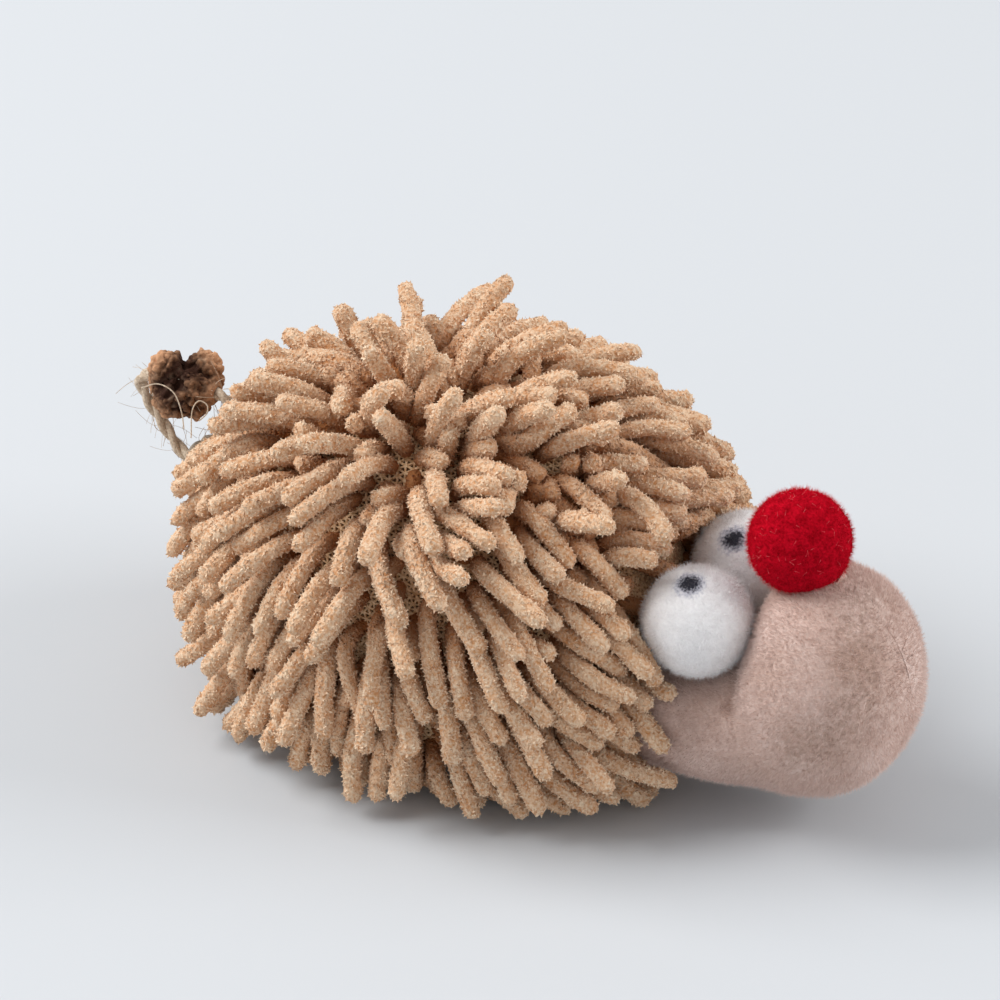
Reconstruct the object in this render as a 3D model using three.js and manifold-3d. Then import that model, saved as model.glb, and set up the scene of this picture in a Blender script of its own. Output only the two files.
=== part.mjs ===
// Hedgehog catnip toy: a body covered in chenille noodles, a plush head with an upturned snout, pompom
// eyes and nose, and a gall fruit threaded on a twine tail.
// Millimetres. +X points to the snout, +Y to the toy's left, +Z up, and z = 0 lies under the belly.
import * as THREE from "three";
import { mergeVertices } from "three/addons/utils/BufferGeometryUtils.js";
import Module from "manifold-3d";

// Running gap between pieces that touch, and the overrun of a cut past the piece it cuts
const fitGap = 0.3;
const overrun = 1;

// Body cover: an egg on its side that sags onto a flat rest face
const bodyHalfLength = 32.4;
const bodyHalfWidth = 26;
const bodyRise = 26;
const bodySag = 25.2;
const restFaceDepth = 0.5;
const coverWall = 1.6;
const backRoundness = 2;
const bellyRoundness = 3.5;
const bellyPanelShare = 0.74;
const bellyPanelFallShare = (1 - bellyPanelShare ** bellyRoundness) ** (1 / bellyRoundness);
const bodyCentre = new THREE.Vector3(0, 0, bodySag - restFaceDepth);

// Head: a round muzzle melting into a lower neck that runs back into the body, with a valley for the eyes
const muzzleHalfLength = 13.5;
const muzzleHalfWidth = 14.5;
const muzzleHalfHeight = 16.2;
const muzzleForward = 55.6;
const muzzleDrop = 3.3;
const neckHalfLength = 20;
const neckHalfWidth = 15;
const neckHalfHeight = 11;
const neckForward = 38;
const neckDrop = 10;
const headBlend = 2;
const headWall = 1.6;
const headSeamHalfTurn = THREE.MathUtils.degToRad(125);
const muzzleCentre = new THREE.Vector3(muzzleForward, 0, bodyCentre.z - muzzleDrop);
const neckCentre = new THREE.Vector3(neckForward, 0, bodyCentre.z - neckDrop);
const headCentre = muzzleCentre.clone().lerp(neckCentre, 1 / 2);

// Pompoms and the glue dabs under them
const eyeRadius = 7.7;
const eyeForward = 40.2;
const eyeRise = 5.5;
const eyeSink = 0.8;
const noseRadius = 7.2;
const noseForward = 51.3;
const noseRise = 17.1;
const glueRadius = 2.6;
const glueDepth = 1.2;
const eyeSideways = eyeRadius + fitGap / 2;
const eyeCentres = { left: 1, right: -1 };
for (const side of Object.keys(eyeCentres)) {
  const y = eyeCentres[side] * eyeSideways;
  eyeCentres[side] = new THREE.Vector3(eyeForward, y, bodyCentre.z + eyeRise);
}
const noseCentre = new THREE.Vector3(noseForward, 0, bodyCentre.z + noseRise);

// Chenille noodles: they flow away from a crown on the back, leaning more the further they are from it
const noodleLength = 15.5;
const noodleRadius = 1.3;
const noodleSides = 3;
const noodleRootDepth = 0.8;
const noodlesOnFullCover = 420;
const noodleLeastShare = 0.45;
const noodleLengthSpreadShare = 0.12;
const noodleLean = THREE.MathUtils.degToRad(56);
const noodleLeanReach = THREE.MathUtils.degToRad(40);
const noodleDroopShare = 0.24;
const noodleGive = 5;
const noodleStiffShare = 0.45;
const crownDirectionShares = new THREE.Vector3(-0.2, -0.25, 0.95).normalize();
const combDirectionShares = new THREE.Vector3(0.9, 0.43, 0);
const combShare = 1.2;
const goldenAngle = Math.PI * (3 - Math.sqrt(5));
const goldenShare = (Math.sqrt(5) - 1) / 2;
const noodleSpacing = 2 * noodleRadius + fitGap / 3;
const noodleClear = noodleRadius + fitGap;
const neckBareWidth = 1.8;
const tailBareRadius = 4.6;

// Twine tail: two legs leave the rear seam, are knotted together and open into a loop through the fruit
const twineRadius = 0.85;
const twineSides = 8;
const twineSteps = 52;
const anchorKnotRadius = 2.1;
const tailRise = 2.2;
const tailPivot = new THREE.Vector3(
  anchorKnotRadius + fitGap + coverWall - bodyHalfLength,
  0,
  bodyCentre.z + tailRise,
);
const tailSwingUp = THREE.MathUtils.degToRad(15);
const tailSwingDown = THREE.MathUtils.degToRad(20);
const tailRoute = [
  [-0.8, 0, -0.4],
  [-3.4, 0, -1.05],
  [-7.5, -0.8, -0.65],
  [-11.2, -1.1, 0],
  [-14.4, -1.1, 0.3],
  [-17.4, -0.9, 2],
  [-21.2, -0.4, 6.2],
  [-24, 0, 9.8],
  [-24.3, 0, 11.6],
  [-23.3, 0, 12.5],
  [-21.8, 0, 12.6],
  [-19.4, 0, 12.6],
  [-14.2, 0, 12.6],
  [-11.8, 0, 12.6],
  [-10.4, 0, 12.3],
  [-9.5, 0.1, 11],
  [-9.9, 0.3, 8.6],
  [-11.2, 0.6, 6.4],
  [-12.8, 0.8, 4.4],
  [-14.8, 1, 2.6],
  [-15.6, 1.1, 1.2],
  [-14.9, 1.1, 0],
  [-13.4, 1.1, -0.3],
  [-11.2, 1.1, 0],
  [-7.5, 0.8, 0.65],
  [-3.4, 0, 1.05],
  [-0.8, 0, 0.4],
];
const knotReach = new THREE.Vector3(2.4, 2.7, 2.3);
const knotBehindPivot = 14.8;
const knotAbovePivot = 0.9;
const fruitRadius = 5.5;
const fruitBehindPivot = 16.8;
const fruitAbovePivot = 12.6;
const fruitBoreGap = 0.35;
const fruitRidges = 7;
const fruitRidgeShare = 0.045;
const knotHoleSides = 6;
const fruitCentre = new THREE.Vector3(
  tailPivot.x - fruitBehindPivot,
  0,
  tailPivot.z + fruitAbovePivot,
);
const tailDiscs = [
  ...tailRoute.map(([x, y, z]) => [-x, z, Math.abs(y) + twineRadius]),
  [knotBehindPivot, knotAbovePivot, knotReach.y],
  [fruitBehindPivot, fruitAbovePivot, fruitRadius],
];

// Sewing thread of the seams
const threadRadius = 0.35;
const threadSides = 4;
const threadStep = 5;

// Catnip sachet: two fleece halves sealed round a flat lens of dried leaf
const sachetHalfLength = 14;
const sachetHalfWidth = 11;
const sachetHalfHeight = 4.5;
const sachetWall = 0.6;
const sachetFlange = 2;
const sachetCentre = new THREE.Vector3(
  0,
  0,
  coverWall - restFaceDepth + fitGap + sachetHalfHeight,
);
const pocketGap = 0.5;

// Number of facets of the round shapes
const coverFacets = 4;
const headFacets = 4;
const pompomFacets = 3;
const ringFacets = 16;

const everything = 4 * (muzzleForward + muzzleHalfLength);
const toy = new THREE.Group();
const wasm = await Module();
wasm.setup();

function add(name, solid, color, roughness) {
  const material = new THREE.MeshStandardMaterial({ color, roughness, metalness: 0 });
  const mesh = new THREE.Mesh(toGeometry(solid), material);
  mesh.name = name;
  toy.add(mesh);
}

function toSolid(geometry) {
  const bare = geometry.clone();
  bare.deleteAttribute("normal");
  bare.deleteAttribute("uv");
  const merged = mergeVertices(bare);
  return new wasm.Manifold(
    new wasm.Mesh({
      numProp: 3,
      vertProperties: merged.attributes.position.array,
      triVerts: new Uint32Array(merged.index.array),
    }),
  );
}

function toGeometry(solid) {
  const { vertProperties, triVerts } = solid.getMesh();
  const geometry = new THREE.BufferGeometry();
  geometry.setAttribute("position", new THREE.BufferAttribute(vertProperties, 3));
  geometry.setIndex(new THREE.BufferAttribute(triVerts, 1));
  geometry.computeVertexNormals();
  return geometry;
}

// A ball of even facets whose every corner is moved to place(direction)
function shapedBall(facets, place) {
  const geometry = new THREE.IcosahedronGeometry(1, facets);
  const corners = geometry.attributes.position;
  const direction = new THREE.Vector3();
  for (let i = 0; i < corners.count; i++) {
    direction.fromBufferAttribute(corners, i).normalize();
    corners.setXYZ(i, ...place(direction));
  }
  return toSolid(geometry);
}

function boxAround(centre, sizeX, sizeY, sizeZ) {
  return toSolid(new THREE.BoxGeometry(sizeX, sizeY, sizeZ).translate(...centre));
}

// Everything to the left (side 1) or the right (side -1) of the middle seam, with the seam's gap
function sideOfSeam(side) {
  const centre = new THREE.Vector3(0, (side * (everything + fitGap)) / 2, 0);
  return boxAround(centre, everything, everything, everything);
}

function ovalPost(halfLength, halfWidth, bottom, top) {
  const geometry = new THREE.CylinderGeometry(1, 1, top - bottom, ringFacets);
  geometry.rotateX(Math.PI / 2);
  geometry.scale(halfLength, halfWidth, 1);
  return toSolid(geometry.translate(0, 0, (top + bottom) / 2));
}

function tubeAlong(curve, radius, sides, steps) {
  const corners = Array.from({ length: sides }, (_, i) => {
    const turn = (2 * Math.PI * i) / sides;
    return new THREE.Vector2(radius * Math.cos(turn), radius * Math.sin(turn));
  });
  const options = { extrudePath: curve, steps, bevelEnabled: false };
  return toSolid(new THREE.ExtrudeGeometry(new THREE.Shape(corners), options));
}

// Point of the body's cover, inset below it, that a direction in the unit ball maps to
function bodyPoint(direction, inset) {
  const drop = direction.z < 0 ? bodySag : bodyRise;
  const power = direction.z < 0 ? bellyRoundness : backRoundness;
  const level = Math.hypot(direction.x, direction.y);
  const reach = (level ** power + Math.abs(direction.z) ** power) ** (-1 / power);
  const halfSizes = new THREE.Vector3(bodyHalfLength, bodyHalfWidth, drop).subScalar(inset);
  return halfSizes.multiply(direction).multiplyScalar(reach).add(bodyCentre);
}

function bodyNormal(point) {
  const { x, y, z } = point.clone().sub(bodyCentre);
  const drop = z < 0 ? bodySag : bodyRise;
  const power = z < 0 ? bellyRoundness : backRoundness;
  const level = Math.hypot(x / bodyHalfLength, y / bodyHalfWidth) ** (power - 2);
  const fall = (Math.abs(z / drop) ** (power - 1) * Math.sign(z)) / drop;
  const slope = [(level * x) / bodyHalfLength ** 2, (level * y) / bodyHalfWidth ** 2, fall];
  return new THREE.Vector3(...slope).normalize();
}

function bodySolid(inset, facets) {
  return shapedBall(facets, (direction) => bodyPoint(direction, inset));
}

// About the distance from a point to the head's skin, negative inside it
function headDistance(point) {
  const muzzleSizes = new THREE.Vector3(muzzleHalfLength, muzzleHalfWidth, muzzleHalfHeight);
  const neckSizes = new THREE.Vector3(neckHalfLength, neckHalfWidth, neckHalfHeight);
  const muzzle = (point.clone().sub(muzzleCentre).divide(muzzleSizes).length() - 1) * muzzleHalfLength;
  const neck = (point.clone().sub(neckCentre).divide(neckSizes).length() - 1) * neckHalfHeight;
  const lobes = -headBlend * Math.log(Math.exp(-muzzle / headBlend) + Math.exp(-neck / headBlend));
  const beside = Math.max(0, Math.abs(point.y) - eyeSideways);
  const fromEyes = Math.hypot(point.x - eyeForward, beside, point.z - eyeCentres.left.z);
  const valley = eyeRadius - eyeSink - fromEyes;
  return headBlend * Math.log(Math.exp(lobes / headBlend) + Math.exp(valley / headBlend));
}

// Point in a direction from a centre where a distance function takes a value, found by halving
function pointAtDistance(distance, centre, direction, value) {
  let near = 0;
  let far = 2 * (neckHalfLength + muzzleHalfHeight);
  for (let halving = 0; halving < 40; halving++) {
    const middle = (near + far) / 2;
    const inside = distance(centre.clone().addScaledVector(direction, middle)) < value;
    [near, far] = inside ? [middle, far] : [near, middle];
  }
  return centre.clone().addScaledVector(direction, near);
}

function headSolid(inset, facets) {
  return shapedBall(facets, (direction) =>
    pointAtDistance(headDistance, headCentre, direction, -inset),
  );
}

function headNormal(point) {
  const along = (axis) =>
    headDistance(point.clone().add(axis)) - headDistance(point.clone().sub(axis));
  const axes = [0, 1, 2].map((i) => new THREE.Vector3().setComponent(i, fitGap));
  return new THREE.Vector3(...axes.map(along)).normalize();
}

// Curve of a seam, on the middle plane of the body, from one angle to another about the Y axis
function bodySeamCurve(from, to, inset) {
  const count = Math.ceil((Math.abs(to - from) * bodyHalfLength) / threadStep);
  const points = Array.from({ length: count + 1 }, (_, i) => {
    const angle = from + ((to - from) * i) / count;
    return bodyPoint(new THREE.Vector3(Math.cos(angle), 0, Math.sin(angle)), inset);
  });
  return new THREE.CatmullRomCurve3(points);
}

function seamSteps(curve) {
  return Math.ceil(curve.getLength() / threadStep);
}

function thread(curve, extra = 0) {
  return tubeAlong(curve, threadRadius + extra, threadSides, seamSteps(curve));
}

// How far to each side of a place beside the body the swinging tail needs, or 0 where it never comes
function tailSweep(point) {
  const place = new THREE.Vector2(tailPivot.x - point.x, point.z - tailPivot.z);
  const widths = tailDiscs.map(([behind, above, radius]) => {
    const disc = new THREE.Vector2(behind, above);
    const angle = Math.atan2(above, behind);
    const placeAngle = Math.atan2(place.y, place.x);
    const swung = THREE.MathUtils.clamp(placeAngle, angle - tailSwingDown, angle + tailSwingUp);
    const off = disc.rotateAround(new THREE.Vector2(), swung - angle).distanceTo(place);
    return Math.sqrt(Math.max(0, (radius + noodleClear) ** 2 - off ** 2));
  });
  return Math.max(...widths);
}

// Moves a point of a noodle out of the head, the eyes, the tail's fan and the ground
function pushClear(point, side) {
  const headShort = noodleClear - headDistance(point);
  if (headShort > 0) point.addScaledVector(headNormal(point), headShort);
  for (const centre of Object.values(eyeCentres)) {
    const away = point.clone().sub(centre);
    const eyeShort = eyeRadius + noodleClear - away.length();
    if (eyeShort > 0) point.addScaledVector(away.normalize(), eyeShort);
  }
  point.y = side * Math.max(side * point.y, tailSweep(point));
  point.z = Math.max(point.z, noodleClear);
  return point;
}

// Root, bend and tip of noodle number k, spread evenly over the cover from the crown downwards
function noodlePath(k) {
  const fromCrown = Math.acos(1 - (2 * k + 1) / noodlesOnFullCover);
  const direction = new THREE.Vector3()
    .setFromSphericalCoords(1, fromCrown, k * goldenAngle)
    .applyQuaternion(
      new THREE.Quaternion().setFromUnitVectors(THREE.Object3D.DEFAULT_UP, crownDirectionShares),
    );
  const root = bodyPoint(direction, 0);
  const side = Math.sign(root.y) || 1;
  root.y = side * Math.max(noodleClear, Math.abs(root.y));
  const tailHole = new THREE.Vector3(-bodyHalfLength, 0, tailPivot.z);
  const levelShare = Math.hypot(root.x / bodyHalfLength, root.y / bodyHalfWidth);
  const overPanel = levelShare < bellyPanelShare + (noodleClear + noodleRootDepth) / bodyHalfWidth;
  const bare =
    (root.z < bodyCentre.z && overPanel) ||
    headDistance(root) < neckBareWidth ||
    root.distanceTo(tailHole) < tailBareRadius;
  if (bare) return null;
  const normal = bodyNormal(root);
  const flow = root.clone().sub(bodyPoint(crownDirectionShares, 0));
  flow.addScaledVector(combDirectionShares, combShare * flow.dot(combDirectionShares));
  flow.projectOnPlane(normal).normalize();
  const lean = noodleLean * Math.min(1, fromCrown / noodleLeanReach);
  const aim = normal
    .clone()
    .multiplyScalar(Math.cos(lean))
    .addScaledVector(flow, Math.sin(lean));
  aim.z -= noodleDroopShare * (1 - normal.z);
  aim.normalize();
  const lengthShare = 1 - noodleLengthSpreadShare * ((k * goldenShare) % 1);
  return { root, side, normal, aim, lengthShare };
}

// The noodle's root, bend and tip, nudged clear of what it must not touch, or null if that takes too much
function noodleRings({ root, side, normal, aim }, length) {
  const start = root.clone().addScaledVector(normal, -noodleRootDepth);
  const knee = start.clone().addScaledVector(normal, length * noodleStiffShare);
  const free = root.clone().addScaledVector(aim, length);
  const tip = pushClear(free.clone(), side);
  if (tip.distanceTo(free) > noodleGive) return null;
  const bend = start.clone().lerp(tip, 1 / 2).lerp(knee, 1 / 2);
  return [start, pushClear(bend, side), tip];
}

function samplesAlong([start, bend, tip]) {
  const shares = [0, 1 / 4, 1 / 2, 3 / 4, 1];
  const lower = shares.map((share) => start.clone().lerp(bend, share));
  return lower.concat(shares.slice(1).map((share) => bend.clone().lerp(tip, share)));
}

function isClear(samples, side, placed) {
  const touches = (a, b) => a.distanceToSquared(b) < noodleSpacing ** 2;
  const crosses = placed.some((other) => samples.some((a) => other.some((b) => touches(a, b))));
  return !crosses && samples.every((a) => pushClear(a.clone(), side).distanceTo(a) < fitGap);
}

// A prism of a few sides through the noodle's rings, with a mitre at its bend
function noodleSolid([start, bend, tip]) {
  const lower = bend.clone().sub(start).normalize();
  const upper = tip.clone().sub(bend).normalize();
  const mitre = lower.clone().add(upper).normalize();
  const u = lower.clone().cross(new THREE.Vector3(lower.y, -lower.z, lower.x)).normalize();
  const v = lower.clone().cross(u);
  const slide = (corner, along, place, plane) => {
    const short = place.clone().sub(corner).dot(plane) / along.dot(plane);
    return corner.clone().addScaledVector(along, short);
  };
  const roots = Array.from({ length: noodleSides }, (_, i) => {
    const turn = (2 * Math.PI * i) / noodleSides;
    const out = u.clone().multiplyScalar(Math.cos(turn)).addScaledVector(v, Math.sin(turn));
    return start.clone().addScaledVector(out, noodleRadius);
  });
  const bends = roots.map((corner) => slide(corner, lower, bend, mitre));
  const tips = bends.map((corner) => slide(corner, upper, tip, upper));
  const faces = [];
  for (let ring = 0; ring < 2; ring++) {
    for (let i = 0; i < noodleSides; i++) {
      const a = ring * noodleSides + i;
      const b = ring * noodleSides + ((i + 1) % noodleSides);
      faces.push(a, b, b + noodleSides, a, b + noodleSides, a + noodleSides);
    }
  }
  for (let i = 1; i < noodleSides - 1; i++) {
    const last = 2 * noodleSides;
    faces.push(0, i + 1, i, last, last + i, last + i + 1);
  }
  const geometry = new THREE.BufferGeometry().setFromPoints([...roots, ...bends, ...tips]);
  return toSolid(geometry.setIndex(faces));
}

// Noodles of both sides, each as long as its neighbours let it be
function growNoodles() {
  const grown = { 1: [], "-1": [] };
  const placed = [];
  for (let k = 0; k < noodlesOnFullCover; k++) {
    const path = noodlePath(k);
    if (!path) continue;
    for (let share = path.lengthShare; share > noodleLeastShare; share -= noodleLengthSpreadShare) {
      const rings = noodleRings(path, share * noodleLength);
      const samples = rings && samplesAlong(rings);
      if (!rings || !isClear(samples, path.side, placed)) continue;
      placed.push(samples);
      grown[path.side].push(noodleSolid(rings));
      break;
    }
  }
  return grown;
}

function makeBody() {
  const outer = bodySolid(0, coverFacets);
  const ground = boxAround(new THREE.Vector3(0, 0, -everything / 2), everything, everything, everything);
  const shell = outer.subtract(bodySolid(coverWall, coverFacets)).subtract(ground);
  const panelHalfSizes = [bellyPanelShare * bodyHalfLength, bellyPanelShare * bodyHalfWidth];
  const underside = ovalPost(...panelHalfSizes, -overrun, bodyCentre.z);
  const undersideHole = ovalPost(
    panelHalfSizes[0] + fitGap,
    panelHalfSizes[1] + fitGap,
    -overrun,
    bodyCentre.z,
  );
  const tailReach = anchorKnotRadius + fitGap + coverWall;
  const tailSlot = boxAround(
    tailPivot.clone().setX(-bodyHalfLength),
    2 * (coverWall + overrun),
    2 * (twineRadius + fitGap),
    2 * (tailReach * Math.sin(tailSwingDown) + 2 * twineRadius + 2 * fitGap),
  );
  const upperShell = shell.subtract(undersideHole).subtract(tailSlot);
  const noodles = growNoodles();
  for (const [name, side] of [["back_panel_left", 1], ["back_panel_right", -1]]) {
    const half = upperShell.intersect(sideOfSeam(side));
    add(name, wasm.Manifold.union([half, ...noodles[side]]), 0xd8b592, 0.95);
  }
  add("belly_panel", shell.intersect(underside), 0xe6d3c6, 0.95);
}

function makeBodyInside() {
  const threadInset = coverWall + fitGap + threadRadius;
  const panelAngle = Math.atan2(bellyPanelFallShare, bellyPanelShare) - threadStep / bodyHalfLength / 2;
  const slotAngle = (anchorKnotRadius + coverWall + tailRise) / bodyHalfLength;
  const seams = {
    spine_seam_thread: bodySeamCurve(-panelAngle, Math.PI - 2 * slotAngle, threadInset),
    rump_seam_thread: bodySeamCurve(Math.PI + slotAngle, Math.PI + panelAngle, threadInset),
    belly_seam_thread: bellySeamCurve(threadInset + fitGap),
  };
  let filling = bodySolid(coverWall + fitGap, coverFacets);
  for (const [name, curve] of Object.entries(seams)) {
    add(name, thread(curve), 0xb9906a, 0.8);
    filling = filling.subtract(thread(curve, fitGap));
  }
  const pocket = ovalPost(
    sachetHalfLength + sachetFlange + pocketGap,
    sachetHalfWidth + sachetFlange + pocketGap,
    -overrun,
    sachetCentre.z + sachetHalfHeight + fitGap,
  );
  const socket = new THREE.SphereGeometry(anchorKnotRadius + twineRadius + fitGap, ringFacets, twineSides);
  const knotSocket = toSolid(socket.translate(...tailPivot));
  add("body_filling", filling.subtract(pocket).subtract(knotSocket), 0xf2efe8, 1);
}

// Border of the belly panel, just inside the cover
function bellySeamCurve(inset) {
  const points = Array.from({ length: ringFacets }, (_, i) => {
    const turn = (2 * Math.PI * i) / ringFacets;
    const level = [bellyPanelShare * Math.cos(turn), bellyPanelShare * Math.sin(turn)];
    return bodyPoint(new THREE.Vector3(...level, -bellyPanelFallShare).normalize(), inset);
  });
  return new THREE.CatmullRomCurve3(points);
}

function makeSachet() {
  const lens = (inset) => {
    const geometry = new THREE.SphereGeometry(1, ringFacets, ringFacets / 2).rotateX(Math.PI / 2);
    geometry.scale(sachetHalfLength - inset, sachetHalfWidth - inset, sachetHalfHeight - inset);
    return toSolid(geometry.translate(...sachetCentre));
  };
  const flange = ovalPost(
    sachetHalfLength + sachetFlange,
    sachetHalfWidth + sachetFlange,
    sachetCentre.z - sachetWall - fitGap / 2,
    sachetCentre.z + sachetWall + fitGap / 2,
  );
  const skin = lens(0).add(flange).subtract(lens(sachetWall));
  for (const [name, side] of [["catnip_sachet_upper", 1], ["catnip_sachet_lower", -1]]) {
    const centre = sachetCentre.clone();
    centre.z += (side * (everything + fitGap)) / 2;
    add(name, skin.intersect(boxAround(centre, everything, everything, everything)), 0xeeeeea, 0.9);
  }
  add("catnip_leaf", lens(sachetWall + fitGap), 0x6f7a45, 1);
}

function makeHead() {
  const bodyCut = bodySolid(-fitGap, coverFacets);
  const skin = headSolid(0, headFacets).subtract(headSolid(headWall, headFacets)).subtract(bodyCut);
  for (const [name, side] of [["head_panel_left", 1], ["head_panel_right", -1]]) {
    add(name, skin.intersect(sideOfSeam(side)), 0xecdace, 0.95);
  }
  const seam = headSeamCurve(headWall + fitGap + threadRadius);
  add("head_seam_thread", thread(seam), 0xcbb7aa, 0.8);
  const filling = headSolid(headWall + fitGap, headFacets).subtract(bodyCut);
  add("head_filling", filling.subtract(thread(seam, fitGap)), 0xf2efe8, 1);
  add("neck_seam_thread", thread(neckSeamCurve(threadRadius + fitGap)), 0xcbb7aa, 0.8);
}

// Middle seam of the head, from above the neck round the snout to below the neck
function headSeamCurve(inset) {
  const points = Array.from({ length: ringFacets + 1 }, (_, i) => {
    const angle = headSeamHalfTurn * ((2 * i) / ringFacets - 1);
    const direction = new THREE.Vector3(Math.cos(angle), 0, Math.sin(angle));
    return pointAtDistance(headDistance, headCentre, direction, -inset);
  });
  return new THREE.CatmullRomCurve3(points);
}

// Seam round the neck, in the crease where the head meets the body
function neckSeamCurve(offset) {
  const points = Array.from({ length: ringFacets }, (_, i) => {
    const turn = (2 * Math.PI * i) / ringFacets;
    const outward = new THREE.Vector3(0, Math.cos(turn), Math.sin(turn));
    let back = bodyCentre.x + bodyHalfLength / 2;
    let front = bodyHalfLength + offset;
    let point;
    for (let halving = 0; halving < 30; halving++) {
      const middle = (back + front) / 2;
      const axisPoint = neckCentre.clone().setX(middle);
      point = pointAtDistance(headDistance, axisPoint, outward, offset);
      const x = (point.x - bodyCentre.x) / (bodyHalfLength + offset);
      const y = point.y / (bodyHalfWidth + offset);
      const up = point.z > bodyCentre.z;
      const z = (point.z - bodyCentre.z) / ((up ? bodyRise : bodySag) + offset);
      const power = up ? backRoundness : bellyRoundness;
      const inside = Math.hypot(x, y) ** power + Math.abs(z) ** power < 1;
      [back, front] = inside ? [middle, front] : [back, middle];
    }
    return point;
  });
  return new THREE.CatmullRomCurve3(points);
}

// A pompom on the head, pressed flat where it touches, over its dab of glue
function makePompom(name, centre, radius, color) {
  const seat = headSolid(-fitGap, headFacets);
  const outward = centre.clone().sub(headCentre).normalize();
  const skin = pointAtDistance(headDistance, headCentre, outward, 0);
  const dab = (dabRadius, height) => {
    const geometry = new THREE.CylinderGeometry(dabRadius, dabRadius, 2 * height, ringFacets / 2);
    const turn = new THREE.Quaternion().setFromUnitVectors(THREE.Object3D.DEFAULT_UP, outward);
    return toSolid(geometry.applyQuaternion(turn).translate(...skin));
  };
  const ball = shapedBall(pompomFacets, (direction) =>
    centre.clone().addScaledVector(direction, radius),
  );
  const pompom = ball.subtract(seat).subtract(dab(glueRadius + fitGap, glueDepth + 2 * fitGap));
  add(name, pompom, color, 1);
  const glue = dab(glueRadius, glueDepth + fitGap).subtract(seat);
  add(name.replace("_pompom", "") + "_glue", glue, 0xe9e4d2, 0.4);
}

function makeTail() {
  const points = tailRoute.map((offset) => new THREE.Vector3(...offset).add(tailPivot));
  const route = new THREE.CatmullRomCurve3(points);
  const twine = tubeAlong(route, twineRadius, twineSides, twineSteps);
  const twineSpace = tubeAlong(route, twineRadius + fitGap, knotHoleSides, twineSteps);
  const anchor = new THREE.SphereGeometry(anchorKnotRadius, twineSides, twineSides);
  add("tail_twine", twine.add(toSolid(anchor.translate(...tailPivot))), 0xc3ad8d, 0.9);
  const knot = new THREE.SphereGeometry(1, twineSides, twineSides).scale(...knotReach);
  knot.translate(tailPivot.x - knotBehindPivot, 0, tailPivot.z + knotAbovePivot);
  add("tail_knot", toSolid(knot).subtract(twineSpace), 0x8b7660, 0.9);
}

// Wrinkled gall fruit with its bore along X
function makeFruit() {
  const ball = shapedBall(pompomFacets, (direction) => {
    const around = Math.atan2(direction.z, direction.y);
    const ridge = Math.cos(fruitRidges * around) * Math.hypot(direction.y, direction.z);
    const radius = fruitRadius * (1 - fruitRidgeShare + fruitRidgeShare * ridge);
    return fruitCentre.clone().addScaledVector(direction, radius);
  });
  const boreRadius = twineRadius + fruitBoreGap;
  const boreLength = 2 * (fruitRadius + overrun);
  const bore = new THREE.CylinderGeometry(boreRadius, boreRadius, boreLength, ringFacets / 2);
  bore.rotateZ(Math.PI / 2).translate(...fruitCentre);
  add("gall_fruit", ball.subtract(toSolid(bore)), 0x55392a, 0.8);
}

makeBody();
makeBodyInside();
makeSachet();
makeHead();
makePompom("eye_left", eyeCentres.left, eyeRadius, 0xf1f0f2);
makePompom("eye_right", eyeCentres.right, eyeRadius, 0xf1f0f2);
makePompom("nose_pompom", noseCentre, noseRadius, 0xc8101e);
makeTail();
makeFruit();

export default toy;
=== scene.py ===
# %% [markdown]
# # A hedgehog cat toy
# A stuffed toy of chenille noodles, plush and pompoms, with a gall fruit on a twine tail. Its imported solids
# are the frame that every piece is made in: +X to the snout, +Y to the toy's left, +Z up, z = 0 under the
# belly. Shapes are worked out in millimetres and put into meshes in metres.

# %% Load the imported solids
import math

import bmesh
import bpy
import numpy as np
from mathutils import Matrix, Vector, noise


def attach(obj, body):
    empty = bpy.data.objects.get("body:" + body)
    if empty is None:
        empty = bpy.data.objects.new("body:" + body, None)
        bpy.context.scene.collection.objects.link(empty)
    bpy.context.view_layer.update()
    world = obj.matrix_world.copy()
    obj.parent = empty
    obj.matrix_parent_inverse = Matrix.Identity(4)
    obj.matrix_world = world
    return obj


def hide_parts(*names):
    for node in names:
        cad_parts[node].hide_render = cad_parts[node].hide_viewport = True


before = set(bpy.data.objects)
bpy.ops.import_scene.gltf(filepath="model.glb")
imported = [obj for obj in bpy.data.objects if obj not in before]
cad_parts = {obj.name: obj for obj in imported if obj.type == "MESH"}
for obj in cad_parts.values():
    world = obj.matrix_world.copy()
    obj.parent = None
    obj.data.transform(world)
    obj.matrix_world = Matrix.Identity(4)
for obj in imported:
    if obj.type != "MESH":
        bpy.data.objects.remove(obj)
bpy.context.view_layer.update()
scene = bpy.context.scene
MM = 0.001
rng = np.random.default_rng(11)

# %% [markdown]
# ## Camera
# The photograph looks down at the toy from its right side, a little ahead of it. The red nose pompom, a 15
# mm craft size, sets the scale at the aim. A long lens keeps the view as flat as the photograph's.

# %% Camera
azimuth, elevation = math.radians(28), math.radians(32)
to_camera = np.array([
    math.sin(azimuth) * math.cos(elevation),
    -math.cos(azimuth) * math.cos(elevation),
    math.sin(elevation),
])
image_right = np.array([math.cos(azimuth), math.sin(azimuth), 0])
image_up = np.cross(to_camera, image_right)
aim = np.array([2.6, 6.1, 30.7])
camera_distance = 600.0
pixels_per_mm = 7.1
image_side = 1000

camera = bpy.data.objects.new("camera", bpy.data.cameras.new("camera"))
scene.collection.objects.link(camera)
camera.location = (aim + to_camera * camera_distance) * MM
camera.rotation_mode = "QUATERNION"
camera.rotation_quaternion = Vector(-to_camera).to_track_quat("-Z", "Y")
camera.data.sensor_width = 36
camera.data.lens = 36 * pixels_per_mm * camera_distance / image_side
camera.data.clip_start, camera.data.clip_end = 0.01, 50
scene.camera = camera
print("lens:", round(camera.data.lens, 1), "mm")


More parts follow.
